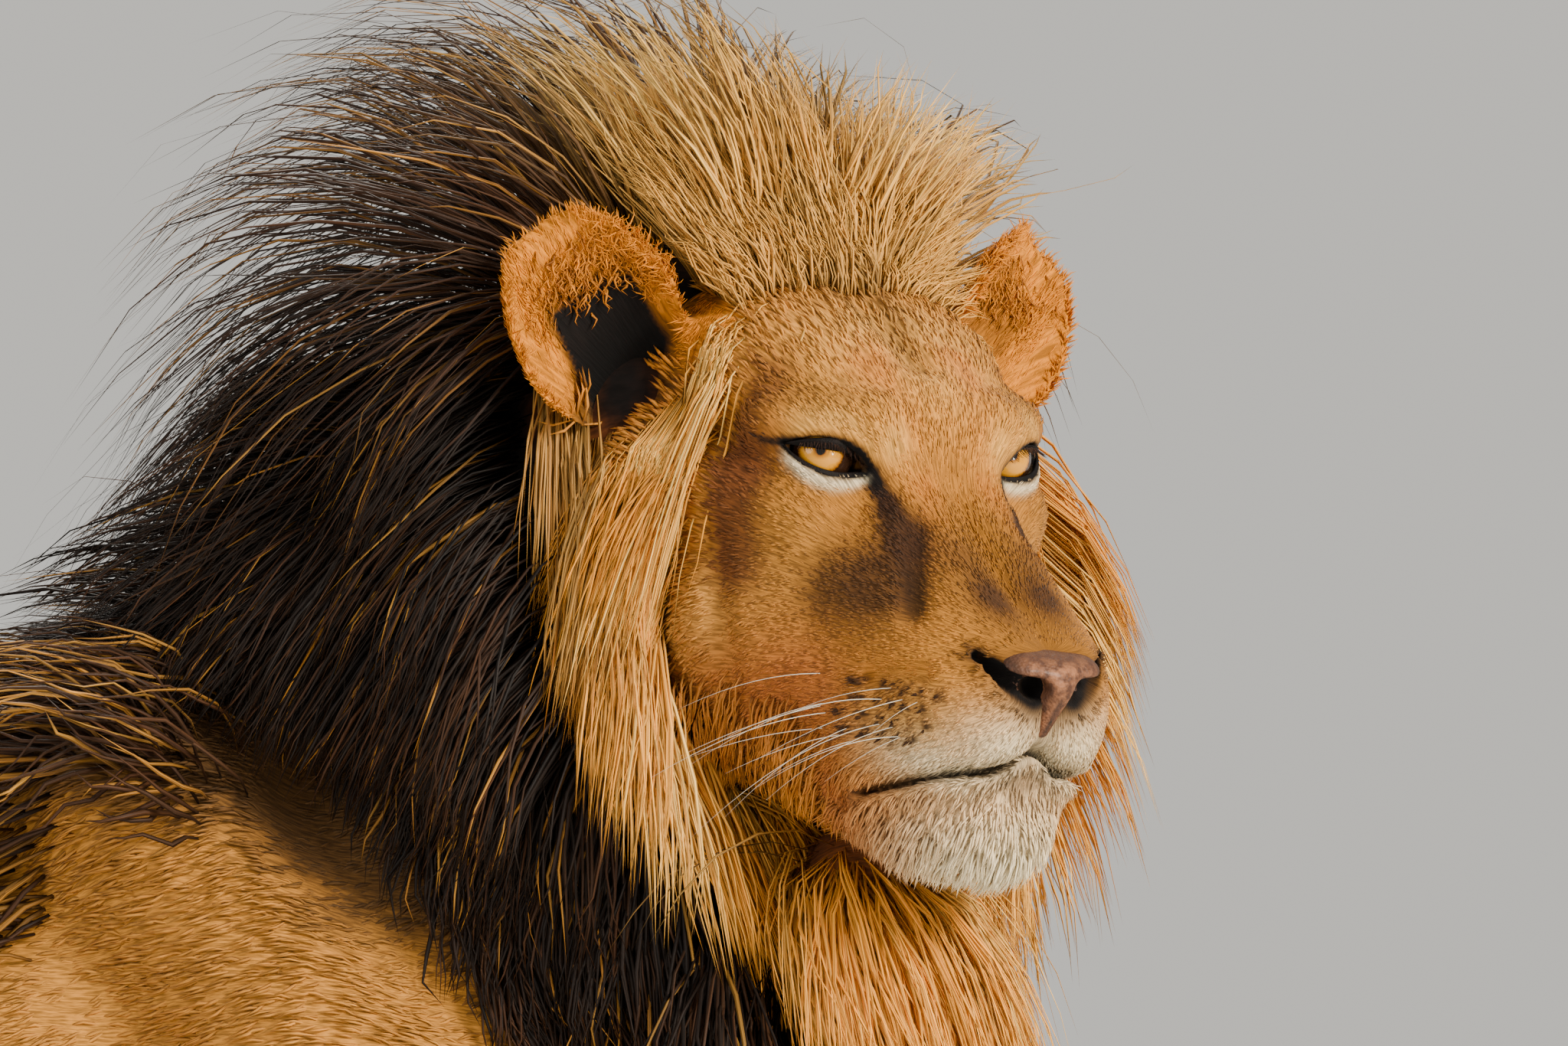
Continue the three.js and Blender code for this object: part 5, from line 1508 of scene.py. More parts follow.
# ---- the coat: every tuft is a closed sliver, rooted in the skin ----
coat = {
    "mane": {"near": 12100, "far": 3700, "nearWidth": (1.6, 3.4), "farWidth": (5, 9), "stations": 6, "farStations": 5, "clumps": 10},
    "ruff": {"near": 4300, "far": 2400, "width": (1.1, 2.5), "stations": 5, "clumps": 8},
    "sideburn": {"count": 1600, "width": (1.0, 2.1), "stations": 6},
    "cheek": {"count": 3800, "width": (1.2, 2.3), "stations": 5},
    "forelock": {"count": 2700, "width": (1.0, 2.0), "stations": 5},
    "withers": {"count": 2400, "width": (2.4, 4.6), "stations": 6, "clumps": 14},
    "strays": {"count": 1500, "width": (0.6, 1.1), "stations": 6},
    "face": {"count": 29500, "width": (1.2, 2.2), "stations": 3},
    "chin": {"count": 2800, "width": (1.2, 2.0), "stations": 4},
    "earLocks": {"count": 700, "width": (0.9, 1.7), "stations": 5},
    "ears": {"count": 7800, "width": (0.8, 1.5), "stations": 4},
    "body": {"near": 13200, "far": 12200, "nearWidth": (2.2, 3.6), "farWidth": (6, 10), "stations": 3},
    "tuft": {"count": 650, "width": (3.5, 6), "stations": 6},
    "pieceTriangles": 190000,
}
extras = []  # every piece of coat, with the slot that it stands for


def insideBox(paths):
    # Keeps hair from reaching past the solid model's box, or through the floor.
    low = np.array(cadBox[0]) / metre - bodyShift - (6, 8, -3)
    high = np.array(cadBox[1]) / metre - bodyShift + (4, 8, 8)
    paths = np.where(paths > high, high + (paths - high) * 0.12, paths)
    return np.where(paths < low, low + (paths - low) * np.array((0.12, 0.12, 0.0)), paths)


def addHair(name, slotName, paths, normals, width, rootTone, tipTone, place, material, random, tipShare=0.55):
    # Cuts a coat into pieces of a moderate size.
    paths = insideBox(paths)
    each = (paths.shape[1] - 2) * 6 + 4
    parts = max(1, math.ceil(len(paths) * each / coat["pieceTriangles"]))
    for number, chosen in enumerate(np.array_split(np.arange(len(paths)), parts)):
        piece = hairObject(
            name + (str(number + 1) if parts > 1 else ""), paths[chosen], normals[chosen], width[chosen],
            rootTone[chosen], tipTone[chosen], place[chosen], material, random, tipShare,
        )
        extras.append((piece, slotName))


def toSide(points):
    # Which flank a root lies on as the camera sees it: 1 near, 0 far.
    return smoothstep(-points[:, 1], -60, 20)


def neckRoots(middle, normals):
    inNeck = (neckAt(middle) + skin["maneDepth"] < 9) & (onShoulder(middle) < 0.5)
    clear = (torsoAt(middle) > -2) & (headAt(middle) > -2)
    return inNeck & clear


# How far the mane reaches from its middle, at angles in degrees over the camera's plane.
maneOutline = {
    "middle": (-180, 0), "angle": (27, 35, 43, 57, 78, 94, 108, 126, 141, 150, 172, 183, 190.5, 195),
    "reach": (355, 325, 296, 276, 253, 228, 222, 218, 200, 190, 186, 192, 238, 282),
}


def trimmed(paths, normals, random):
    # Shortens or draws out the outermost locks, so that the mane ends on its outline.
    across, up = fromNearEye(paths[:, [0, -1]])
    across, up = across - maneOutline["middle"][0], up - maneOutline["middle"][1]
    out = np.hypot(across, up)
    angle = np.degrees(np.arctan2(up[:, 1], across[:, 1])) % 360
    reach = np.interp(angle, maneOutline["angle"], maneOutline["reach"]) * between(random, 0.84, 1.03, len(paths))
    size = (reach - out[:, 0]) / np.maximum(out[:, 1] - out[:, 0], 20)
    edgeOn = smoothstep(-np.abs(normals @ np.array((0.174, -0.985, 0))), -0.75, -0.35)
    size = np.where(size > 1, 1 + (np.minimum(size, 1.75) - 1) * edgeOn, np.maximum(size, 0.3))
    size[(angle < maneOutline["angle"][0]) | (angle > maneOutline["angle"][-1])] = 1
    return paths[:, :1] + (paths - paths[:, :1]) * size[:, None, None]


def maneShape(roots, normals, random):
    at = roots + normals * skin["maneDepth"]
    local, toHead, toTorso = inHead(at), headAt(at), torsoAt(at)
    side = np.sign(local[:, 1])
    crest = smoothstep(normals[:, 2], 0.45, 0.85)
    crown = crest * (1 - smoothstep(toHead, 60, 140))
    rim = (1 - smoothstep(toHead, 20, 75)) * (1 - crest)
    chest = 1 - smoothstep(at[:, 2], 860, 980)
    shoulder = (at[:, 2] > 850) * (1 - smoothstep(toTorso, 10, 60)) * (1 - crest)
    flow = np.tile((-0.62, 0, -0.7), (len(at), 1))
    flow = flow + np.outer(crest - crown, (-0.2, 0, 1.1)) + np.outer(chest, (0.66, 0, -0.4))
    outward = crown * smoothstep(local[:, 1], 0, 45)
    back = np.stack([0.75 * outward - 1, 0.25 * side + 0.8 * outward, 0.25 * np.ones(len(at))], 1) @ headTurn.T
    flow = flow + (back - flow) * crown[:, None]
    flow = flow + np.outer(rim, headTurn @ np.array((0.5, 0, -1.2)))
    flow = flow + (random.random(flow.shape) - 0.5) * (0.34, 0.34, 0.22) * (1 + 0.5 * crest)[:, None]
    brow = crown * smoothstep(local[:, 0], -250, -130)
    nape = crest * (1 - crown) * smoothstep(at[:, 0], 20, 110)
    count = len(at)
    length = between(random, 112, 158, count) + 30 * chest - 10 * rim + 22 * crest + 26 * nape - 84 * brow - 42 * shoulder
    beside = onShoulder(roots + np.array((-95, 0, -30)), 70) * (1 - crest)
    length = length * (1 - 0.62 * beside)
    front = smoothstep(1040 - at[:, 2], 0, 160) * toSide(roots) * (1 - crest)
    flow = flow + np.outer(beside, (0.25, 0, -0.5)) + np.outer(front, (0.55, 0.1, 0))
    style = hairStyle(
        random, count, length + 26, (0.75 + 1.1 * crest + 0.3 * crown + 0.5 * rim) * (1 - 0.5 * beside), 0.5 - 0.5 * crest,
        0.34, 3, 0.15 + 0.6 * outward,
        wave=between(random, 2, 8, count) * (1 - 0.3 * crest),
    )
    keep = (toTorso > 0) & (toHead > 2) & ~((local[:, 0] > -30) & (local[:, 2] > -190))
    earMiddle = np.array((ear["back"], ear["out"] + 20, ear["up"] + 30))
    mirrored = np.abs(local * (0, 1, 0)) + local * (1, 0, 1)
    keep &= ~((local[:, 0] > ear["back"] - 34) & (np.linalg.norm(mirrored - earMiddle, axis=1) < 88))
    keep &= ~((local[:, 0] > ear["back"] - 30) & (local[:, 2] > 0) & (np.abs(local[:, 1]) > 52))
    return style, lie(flow, normals), local, {"crest": crest, "crown": crown, "rim": rim}, keep


def maneTones(roots, local, zones, random):
    # Near black at the side, brown above, blonde at the crest, with a few golden tips.
    count = len(roots)
    slow = ripple(roots, 46)
    root = np.tile(hues["mane"], (count, 1))
    tip = np.tile(hues["mane"] * 1.5, (count, 1))
    tip = blendTo(tip, "maneBrown", 0.1 + 0.75 * (random.random(count) < 0.25 + 0.2 * slow))
    tip = blendTo(tip, "tipGold", 0.7 * (random.random(count) < 0.035))
    above = smoothstep(local[:, 2] - 20 * slow, 20, 100)
    root = blendTo(root, "crestDark", above * 0.9)
    tip = blendTo(tip, "crestDark", above * 0.6)
    tip = blendTo(tip, "tipGold", above * 0.7 * (random.random(count) < 0.1 + 0.1 * zones["crest"]))
    blonde = zones["crest"] * smoothstep(local[:, 0] + 16 * slow + 0.5 * np.maximum(local[:, 1], 0), -176, -130)
    root = blendTo(root, "ruff", blonde * 0.75)
    tip = blendTo(tip, "crest", blonde)
    streak = near(mirrorY(local), (-182, 57, 108), (44, 30, 30))
    root = blendTo(root, "crest", streak * 0.8)
    tip = blendTo(tip, "paleRuff", streak)
    bottom = smoothstep(900 - roots[:, 2], 0, 150) * (random.random(count) < 0.3 + 0.2 * slow)
    tip = blendTo(tip, "bridge", bottom * 0.7)
    return root, tip


def mirrorY(local):
    there = local.copy()
    there[:, 1] = np.abs(there[:, 1])
    return there


def keepBy(keep, *arrays):
    return [array[keep] if isinstance(array, np.ndarray) else {k: v[keep] for k, v in array.items()} for array in arrays]


def clearOf(paths):
    paths = pushOut(paths, headAt, 2.0)
    return pushOut(paths, torsoAt, 3.0)


def growMane(count, width, nearSide, seed):
    random = np.random.default_rng(seed)
    v = coat["mane"]

    def weight(middle, normals):
        side = np.maximum(toSide(middle), smoothstep(normals[:, 2], 0.3, 0.6))
        return neckRoots(middle, normals) * (side if nearSide else 1 - 0.999 * side)

    roots, normals = scatter(bodyPoints, bodyQuads, weight, count * 2, random)
    style, flow, local, zones, keep = maneShape(roots, normals, random)
    paths = growPaths(roots, normals, flow, style, v["stations"] if nearSide else v["farStations"])
    golden = np.maximum(ruffShare(paths[:, 3]), ruffShare(paths[:, -1]))
    keep &= (random.random(len(roots)) > golden * (1 - zones["crest"])) & ~overEars(paths)
    keep &= np.cumsum(keep) <= count
    roots, normals, local, paths, zones = keepBy(keep, roots, normals, local, paths, zones)
    number = len(roots)
    paths, _ = gather(paths, number // v["clumps"], between(random, 0.3, 0.85, number), random)
    paths = trimmed(clearOf(paths), normals, random)
    golden = ruffShare(paths.reshape(-1, 3), 8).reshape(number, -1).max(1)
    roots, normals, local, paths, zones = keepBy(
        (random.random(number) > golden * (1 - zones["crest"])) & ~overEars(paths), roots, normals, local, paths, zones
    )
    number = len(roots)
    root, tip = maneTones(roots, local, zones, random)
    addHair(
        "maneNear" if nearSide else "maneFar", "mane", paths, normals, between(random, *width, number),
        vary(root, 0.3, random), vary(tip, 0.35, random), unwrapMane(roots), materials["longHair"], random,
    )
    return number


ruffLean = {"up": (-370, -290, -220, -160, -100, -40), "outer": (0.85, 0.8, 0.55, 0.4, 0.2, 0.1),
            "inner": (0.6, 0.5, 0.3, 0.1, -0.2, -0.35)}


def growRuff(nearSide):
    # The golden ruff round the face hangs straight and smooth, and sweeps forward under the chin.
    random = np.random.default_rng(31 if nearSide else 33)
    v = coat["ruff"]
    limit = v["near"] if nearSide else v["far"]

    def weight(middle, normals):
        beside = toSide(middle) if nearSide else 1.001 - toSide(middle)
        upper = 1 + 2.5 * smoothstep(fromNearEye(middle)[1], -75, -20)
        return neckRoots(middle, normals) * ruffShare(middle - (0, 0, 45), 30) * beside * upper

    roots, normals = scatter(bodyPoints, bodyQuads, weight, limit * 7, random)
    style, flow, local, zones, _ = maneShape(roots, normals, random)
    keep = (headAt(roots + normals * skin["maneDepth"]) > 0) & ~((local[:, 0] > -30) & (local[:, 2] > -190))
    style["wave"] = style["wave"] * 0.3
    style["length"] = style["length"] * 1.05
    style["rise"] = style["rise"] * 0.3
    across, up = fromNearEye(roots)
    if nearSide:
        style["lift"] = style["lift"] * 0.3
        outer = 1 - smoothstep(across - np.interp(up, ruffLine["up"], ruffLine["across"]), 5, 60)
        inner = np.interp(up, ruffLean["up"], ruffLean["inner"])
        lean = inner + (np.interp(up, ruffLean["up"], ruffLean["outer"]) - inner) * outer
    else:
        lean = 0.85 - 0.35 * smoothstep(-up, 60, 170)
    fall = np.stack([lean, 0.18 * lean, -np.ones(len(roots))], 1) + (random.random((len(roots), 3)) - 0.5) * 0.16
    fall = fall + (lie(fall, normals) - fall) * (0.4 if nearSide else 0.55)
    paths = growPaths(roots, normals, fall, style, v["stations"])
    golden = ruffShare(paths[:, 2] if nearSide else roots)
    keep &= (random.random(len(roots)) < golden * (1 - zones["crest"])) & ~overEars(paths)
    keep &= np.cumsum(keep) <= limit
    roots, normals, paths, style = keepBy(keep, roots, normals, paths, style)
    number = len(roots)
    paths, _ = gather(paths, number // v["clumps"], between(random, 0.2, 0.7, number), random)
    paths = clearOf(paths)
    slow = ripple(roots, 38)
    tone = np.tile(hues["ruff"], (number, 1))
    tone = blendTo(tone, "paleRuff", 0.4 + 0.5 * slow)
    tone = blendTo(tone, "red", 0.35 * (random.random(number) < 0.1))
    # Painted shade on the near ruff just under the ear.
    tone = blendTo(tone, "temple", 0.6 * smoothstep(fromNearEye(roots)[1], -75, -25) * toSide(roots))
    addHair(
        "ruffNear" if nearSide else "ruffFar", "coat", paths, normals,
        between(random, *v["width"], number) * (1 if nearSide else 1.5),
        vary(tone * 0.72, 0.22, random), vary(tone * 1.06, 0.2, random), unwrapMane(roots), materials["longHair"], random,
    )
    return number


def growSideburns():
    # Long pale hair that falls from the front of each ear over the cheek's edge.
    random = np.random.default_rng(32)
    v = coat["sideburn"]

    def weight(middle, normals):
        there = mirrorY(inHead(middle))
        return near(there, (-102, 88, 40), (14, 18, 40)) * (np.abs(headAt(middle)) < 4) * (onEars(inHead(middle)) < 0.1)

    roots, normals = scatter(headPoints, headQuads, weight, v["count"], random)
    count = v["count"]
    flow = fallBy(roots, -0.26 * np.ones(count)) + (random.random((count, 3)) - 0.5) * 0.12
    style = hairStyle(random, count, between(random, 110, 200, count), 0.2, 0.1, 0.06, 2, 0.03, wave=between(random, 0, 2, count))
    paths = growPaths(roots, normals, flow, style, v["stations"])
    paths, _ = gather(paths, count // 9, between(random, 0.2, 0.7, count), random)
    paths = pushOut(pushOut(paths, headAt, 2.0), neckAt, -6, True)
    roots, normals, paths = keepBy(~overEars(paths, -0.32), roots, normals, paths)
    count = len(roots)
    tone = blendTo(np.tile(hues["paleRuff"], (count, 1)), "ruff", random.random(count))
    place = unwrapHead(inHead(roots))[0]
    addHair(
        "sideburns", "coat", paths, normals, between(random, *v["width"], count), vary(tone * 0.7, 0.2, random),
        vary(tone, 0.15, random), place, materials["longHair"], random,
    )


def growCheeks():
    # Longer hair at the back of the cheek joins the short face to the ruff.
    random = np.random.default_rng(35)
    v = coat["cheek"]
    count = v["count"]

    def weight(middle, normals):
        there = mirrorY(inHead(middle))
        back = smoothstep(-there[:, 0], 56, 90) * smoothstep(72 - there[:, 2], 0, 50) * (there[:, 1] > 45)
        jaw = smoothstep(-there[:, 2], 120, 160) * smoothstep(60 - there[:, 0], 0, 60)
        return np.maximum(back, jaw) * (neckAt(middle) > -38) * (onEars(inHead(middle)) < 0.3)

    roots, normals = scatter(headPoints, headQuads, weight, count, random)
    local = inHead(roots)
    back = smoothstep(-local[:, 0], 50, 100)
    flow = awayFromNose(local, normals @ headTurn) @ headTurn.T * (0.7 * (1 - back))[:, None]
    flow = flow + fallBy(roots, 0.05 - 0.2 * back) + (random.random(flow.shape) - 0.5) * 0.2
    length = (26 + 84 * back) * between(random, 0.75, 1.25, count)
    style = hairStyle(random, count, length, 0.18, 0.1, 0.15, 2, 0.05, wave=1.4)
    paths = growPaths(roots, normals, flow + (lie(flow, normals) - flow) * (0.8 - 0.5 * back)[:, None], style, v["stations"])
    paths, _ = gather(paths, count // 8, between(random, 0.1, 0.6, count), random)
    paths = pushOut(pushOut(paths, headAt, 1.5), neckAt, -12, True)
    roots, normals, paths, local, back = keepBy(~overEars(paths, -0.5), roots, normals, paths, local, back)
    count = len(roots)
    tone = faceTone(local)
    tip = blendTo(tone, "ruff", 0.35 + 0.5 * back)
    addHair(
        "cheekHair", "coat", paths, normals, between(random, *v["width"], count), vary(tone * 0.7, 0.2, random),
        vary(tip, 0.2, random), unwrapHead(local)[0], materials["longHair"], random,
    )


def growForelock():
    # The blonde hair stands up along the top of the forehead, between the ears.
    random = np.random.default_rng(36)
    v = coat["forelock"]
    count = v["count"]

    def weight(middle, normals):
        there = mirrorY(inHead(middle))
        top = smoothstep(there[:, 2], 20, 45) * smoothstep(-there[:, 0], 84, 104) * (there[:, 1] < 94)
        return top * (onEars(inHead(middle)) < 0.3) * (neckAt(middle) > -34)

    roots, normals = scatter(headPoints, headQuads, weight, count, random)
    local = inHead(roots)
    back = smoothstep(-local[:, 0], 84, 150)
    far = smoothstep(local[:, 1], 5, 50)
    outward = np.stack([0.6 * far - 1, 0.9 * far + 0.002 * local[:, 1], 0.2 * np.ones(count)], 1) @ headTurn.T
    flow = outward + (random.random((count, 3)) - 0.5) * 0.5
    length = (20 + (64 + 22 * far) * back) * between(random, 0.55, 1.3, count)
    style = hairStyle(random, count, length, 0.7, 0, 0.36, 2, 0.35 + 0.75 * back, wave=between(random, 1, 5, count))
    paths = growPaths(roots, normals, lie(flow, normals), style, v["stations"])
    paths, _ = gather(paths, count // 12, between(random, 0.3, 0.95, count), random)
    paths = trimmed(paths, normals, random)
    roots, normals, paths, local, back = keepBy(~overEars(paths), roots, normals, paths, local, back)
    count = len(roots)
    tone = blendTo(faceTone(local), "crest", 0.4 + 0.5 * back)
    addHair(
        "forelock", "mane", paths, normals, between(random, *v["width"], count), vary(tone * 0.6, 0.2, random),
        vary(tone * 1.1, 0.2, random), unwrapHead(local)[0], materials["longHair"], random,
    )


def growWithers():
    # Dark curling hair with blonde ends over the withers, behind the shoulder blade and under the chest.
    random = np.random.default_rng(33)
    v = coat["withers"]

    def weight(middle, normals):
        x, y, z = middle.T
        top = (z > 955) * smoothstep(x, -230, -190) * (1 - smoothstep(x, 0, 40)) * (normals[:, 2] > 0.4)
        behind = (z > 890) * smoothstep(x, -240, -200) * (1 - smoothstep(x, -95, -60)) * 0.7
        breast = (z < 690) * (z > 545) * (x > -60) * (np.abs(y) < 85) * (normals[:, 2] < -0.05) * 0.8
        return np.maximum(np.maximum(top, behind), breast) * (neckAt(middle) > -10)

    roots, normals = scatter(bodyPoints, bodyQuads, weight, v["count"], random)
    count = v["count"]
    low = roots[:, 2] < 700
    onTop = (roots[:, 2] > 955) & (normals[:, 2] > 0.5)
    flow = np.stack([-np.ones(count), between(random, -0.3, 0.3, count), np.where(onTop, 0, -0.8)], 1)
    flow[low] = (-0.1, 0, -1)
    style = hairStyle(
        random, count, between(random, 62, 122, count), np.where(low, 0.9, 0.65), np.where(low, 0.6, 0.15), 0.5, 3,
        0.12, wave=between(random, 3, 10, count),
    )
    paths = growPaths(roots, normals, lie(flow, normals), style, v["stations"])
    paths, _ = gather(paths, count // v["clumps"], between(random, 0.4, 0.9, count), random)
    paths = pushOut(paths, torsoAt, 3.0)
    root = blendTo(np.tile(hues["mane"], (count, 1)), "maneBrown", 0.5 * random.random(count))
    tip = blendTo(np.tile(hues["maneBrown"], (count, 1)), "tipGold", (random.random(count) < 0.4) * 0.9)
    addHair(
        "withersHair", "mane", paths, normals, between(random, *v["width"], count), vary(root, 0.3, random),
        vary(tip, 0.3, random), unwrapBody(roots)[0], materials["longHair"], random,
    )


def growStrays():
    # Thin loose hairs stand clear of the mane's outline.
    random = np.random.default_rng(34)
    v = coat["strays"]
    roots, normals = scatter(bodyPoints, bodyQuads, lambda m, n: neckRoots(m, n) * (0.3 + n[:, 2].clip(0, 1)), v["count"] * 2, random)
    style, flow, local, zones, keep = maneShape(roots, normals, random)
    roots, normals, flow, local, style, zones = keepBy(keep, roots, normals, flow, local, style, zones)
    few = np.arange(len(roots)) < v["count"]
    roots, normals, flow, local, style, zones = keepBy(few, roots, normals, flow, local, style, zones)
    number = len(roots)
    style["length"] = style["length"] * between(random, 0.95, 1.12, number)
    style["lift"] = style["lift"] * between(random, 1.0, 1.5, number)
    style["twist"] = style["twist"] * 2.2
    paths = clearOf(growPaths(roots, normals, flow, style, v["stations"]))
    paths = trimmed(paths, normals, random)
    paths = paths[:, :1] + (paths - paths[:, :1]) * between(random, 0.9, 1.25, number)[:, None, None]
    root, tip = maneTones(roots, local, zones, random)
    dark = ruffShare(paths.reshape(-1, 3)).reshape(number, -1).max(1) < 0.15
    roots, normals, paths, root, tip = keepBy(dark, roots, normals, paths, root, tip)
    number = len(roots)
    addHair(
        "strayHair", "mane", paths, normals, between(random, *v["width"], number), vary(root, 0.3, random),
        vary(tip * 1.2, 0.3, random), unwrapMane(roots), materials["longHair"], random,
    )


# ---- short coats ----
def awayFromNose(local, normals):
    # On the face the hair lies away from the nose, and turns down over the cheeks and the jaw.
    flow = unit(local - np.array((168, 0, -82)))
    cheek = smoothstep(-local[:, 2], 20, 110) * smoothstep(60 - local[:, 0], 0, 90)
    flow = flow + np.outer(cheek, (0.15, 0, -0.7))
    lip = near(mirrorY(local), (118, 40, -135), (50, 40, 26))
    flow = flow + np.outer(lip, (-0.3, 0, -0.55))
    chin = smoothstep(-local[:, 2], 150, 172) * smoothstep(local[:, 0], 30, 80)
    flow = flow + (np.array((-0.45, 0, -1.0)) - flow) * chin[:, None]
    return lie(flow, normals)


def eyeClear(local):
    # How far outside the opening of the lids a point lies: below 1 is inside.
    clear = np.full(len(local), 9.0)
    for side in (1, -1):
        centre, turn = lidFrame(side)
        there = (local - centre) @ turn
        near = np.hypot(there[:, 1] / 25, there[:, 2] / np.where(there[:, 2] > 0, 11.5, 8.5))
        clear = np.where(local[:, 1] * side > 0, np.where(there[:, 0] > -10, near, 9.0), clear)
    return clear


def onEars(local):
    share = np.zeros(len(local))
    for side in (1, -1):
        up, across, forward = earPlaces(local, side)
        here = smoothstep(up, 0.1, 0.24) * (np.abs(across) < 1.35) * (np.abs(forward) < 1.7) * (local[:, 1] * side > 60)
        share = np.maximum(share, here)
    return share


def faceWeight(middle, normals):
    local = inHead(middle)
    there = mirrorY(local)
    outside = (neckAt(middle) > -24) * (onEars(local) < 0.5) * (eyeClear(local) > 1.0)
    noseAt = fieldAt(noseForms, softness["nose"], there)
    nostril = nearLine(there, (162, 15, -98), (132, 38, -85), (11, 7)) > 0.42
    split = (there[:, 1] < 5) & (there[:, 2] < -106) & (there[:, 2] > -138) & (there[:, 0] > 140)
    bare = (noseAt < 1.2) | nostril | split | (np.abs(local[:, 2] - lipLine(local[:, 0], local[:, 1])) < 2.2) & (local[:, 0] > 68)
    dense = 0.6 + 1.6 * smoothstep(local[:, 0], -70, 60) + 1.5 * near(there, (-12, 62, -2), (40, 34, 30))
    nearFace = 0.5 + toSide(middle) * 0.5 + smoothstep(local[:, 0], 20, 90) * 0.4
    return outside * ~bare * dense * nearFace * (normals @ headTurn @ np.array((1.0, 0, 0)) > -0.8)


def growFace():
    random = np.random.default_rng(41)
    v = coat["face"]
    count = v["count"]
    roots, normals = scatter(headPoints, headQuads, faceWeight, count, random)
    local = inHead(roots)
    there = mirrorY(local)
    length = 6.5 + 9 * smoothstep(-local[:, 0], 0, 90) + 8 * smoothstep(-local[:, 0], 85, 150)
    length = length + 7 * smoothstep(-local[:, 2], 120, 190) * smoothstep(80 - local[:, 0], 0, 70)
    length = length - 2.6 * near(there, (-12, 62, -2), (34, 30, 24)) - 1.5 * smoothstep(local[:, 0], 90, 120)
    length = length + 5 * near(there, (120, 35, -148), (40, 30, 16))
    length = length * (1 - 0.55 * (1 - smoothstep(eyeClear(local), 1.1, 1.7)))
    width = between(random, *v["width"], count) * (0.75 + length / 22)
    lift = 0.42 + 0.35 * smoothstep(-local[:, 0], 95, 150) + 0.1 * random.random(count)
    style = hairStyle(random, count, length * between(random, 0.75, 1.2, count), lift, 0.0, 0.25, 1.2)
    flow = awayFromNose(local, normals @ headTurn) @ headTurn.T
    flow = lie(flow + (random.random(flow.shape) - 0.5) * 0.3, normals)
    paths = growPaths(roots, normals, flow, style, v["stations"])
    tone = faceTone(local)
    addHair(
        "faceFur", "coat", paths, normals, width, vary(tone * 0.72, 0.16, random), vary(tone * 1.08, 0.2, random),
        unwrapHead(local)[0], materials["shortFur"], random, 0.7,
    )


def growChin():
    random = np.random.default_rng(42)
    v = coat["chin"]
    count = v["count"]

    def weight(middle, normals):
        there = mirrorY(inHead(middle))
        under = smoothstep(-there[:, 2], 146, 168) * smoothstep(there[:, 0], 20, 70)
        return under * (np.abs(there[:, 2] - lipLine(there[:, 0], there[:, 1])) > 5) * (neckAt(middle) > -24) * (headAt(middle) < 3)

    roots, normals = scatter(headPoints, headQuads, weight, count, random)
    local = inHead(roots)
    length = 9 + 15 * smoothstep(-local[:, 2], 155, 205)
    style = hairStyle(random, count, length * between(random, 0.7, 1.2, count), 0.7, 0.5, 0.35, 1.5, wave=0.8)
    flow = awayFromNose(local, normals @ headTurn) @ headTurn.T
    flow = lie(flow + (random.random(flow.shape) - 0.5) * 0.4, normals)
    paths = growPaths(roots, normals, flow, style, v["stations"])
    paths, _ = gather(paths, count // 8, between(random, 0.1, 0.6, count), random)
    tone = faceTone(local)
    addHair(
        "chinFur", "chin", paths, normals, between(random, *v["width"], count), vary(tone * 0.75, 0.12, random),
        vary(tone * 1.1, 0.12, random), unwrapHead(local)[0], materials["shortFur"], random, 0.7,
    )


def growEars():
    # Short fur on the back, and a thick curly rim round the bare hollow, whose shade is painted on the skin.
    random = np.random.default_rng(43)
    v = coat["ears"]
    count = v["count"]

    def weight(middle, normals):
        local = inHead(middle)
        total = np.zeros(len(local))
        for side in (1, -1):
            up, across, forward = earPlaces(local, side)
            rim = smoothstep(forward, 0.15, 0.5) * 2.2 + 0.7
            bare = (1 if side < 0 else 0.4) * earHollowShade(up, across * side, forward)
            total = total + (local[:, 1] * side > 0) * rim * (1 - bare)
        return total * (onEars(local) > 0.3)

    roots, normals = scatter(headPoints, headQuads, weight, count, random)
    local = inHead(roots)
    tone = faceTone(local)
    flow = np.zeros((count, 3))
    curl = np.zeros(count)
    for side in (1, -1):
        here = local[:, 1] * side > 0
        axis, opening, wide, base = earFrame(side)
        up, across, forward = earPlaces(local, side)
        rim = smoothstep(forward, 0.25, 0.6)
        way = np.outer(1 - 0.6 * rim, axis) + np.outer(across * 0.5 * (1 - rim), wide) - np.outer(rim * across * 0.5, wide)
        way = way + np.outer(rim * 0.4, opening)
        flow[here] = (way @ headTurn.T)[here]
        curl[here] = (rim * smoothstep(up, 0.35, 0.6) * (1 - smoothstep(across * side, 0.3, 0.7)))[here]
    flow = lie(flow + (random.random(flow.shape) - 0.5) * (0.25 + 1.2 * curl[:, None]), normals)
    style = hairStyle(
        random, count, between(random, 7, 10, count) + 7 * curl * random.random(count), 0.22 + 0.6 * curl, 0, 0.3, 1.5,
        wave=curl * 2.2, cycles=1.4,
    )
    paths = growPaths(roots, normals, flow, style, v["stations"])
    addHair(
        "earFur", "ear", paths, normals, between(random, *v["width"], count), vary(tone * 0.7, 0.2, random),
        vary(tone * 1.1, 0.25, random), unwrapHead(local)[0], materials["shortFur"], random, 0.7,
    )


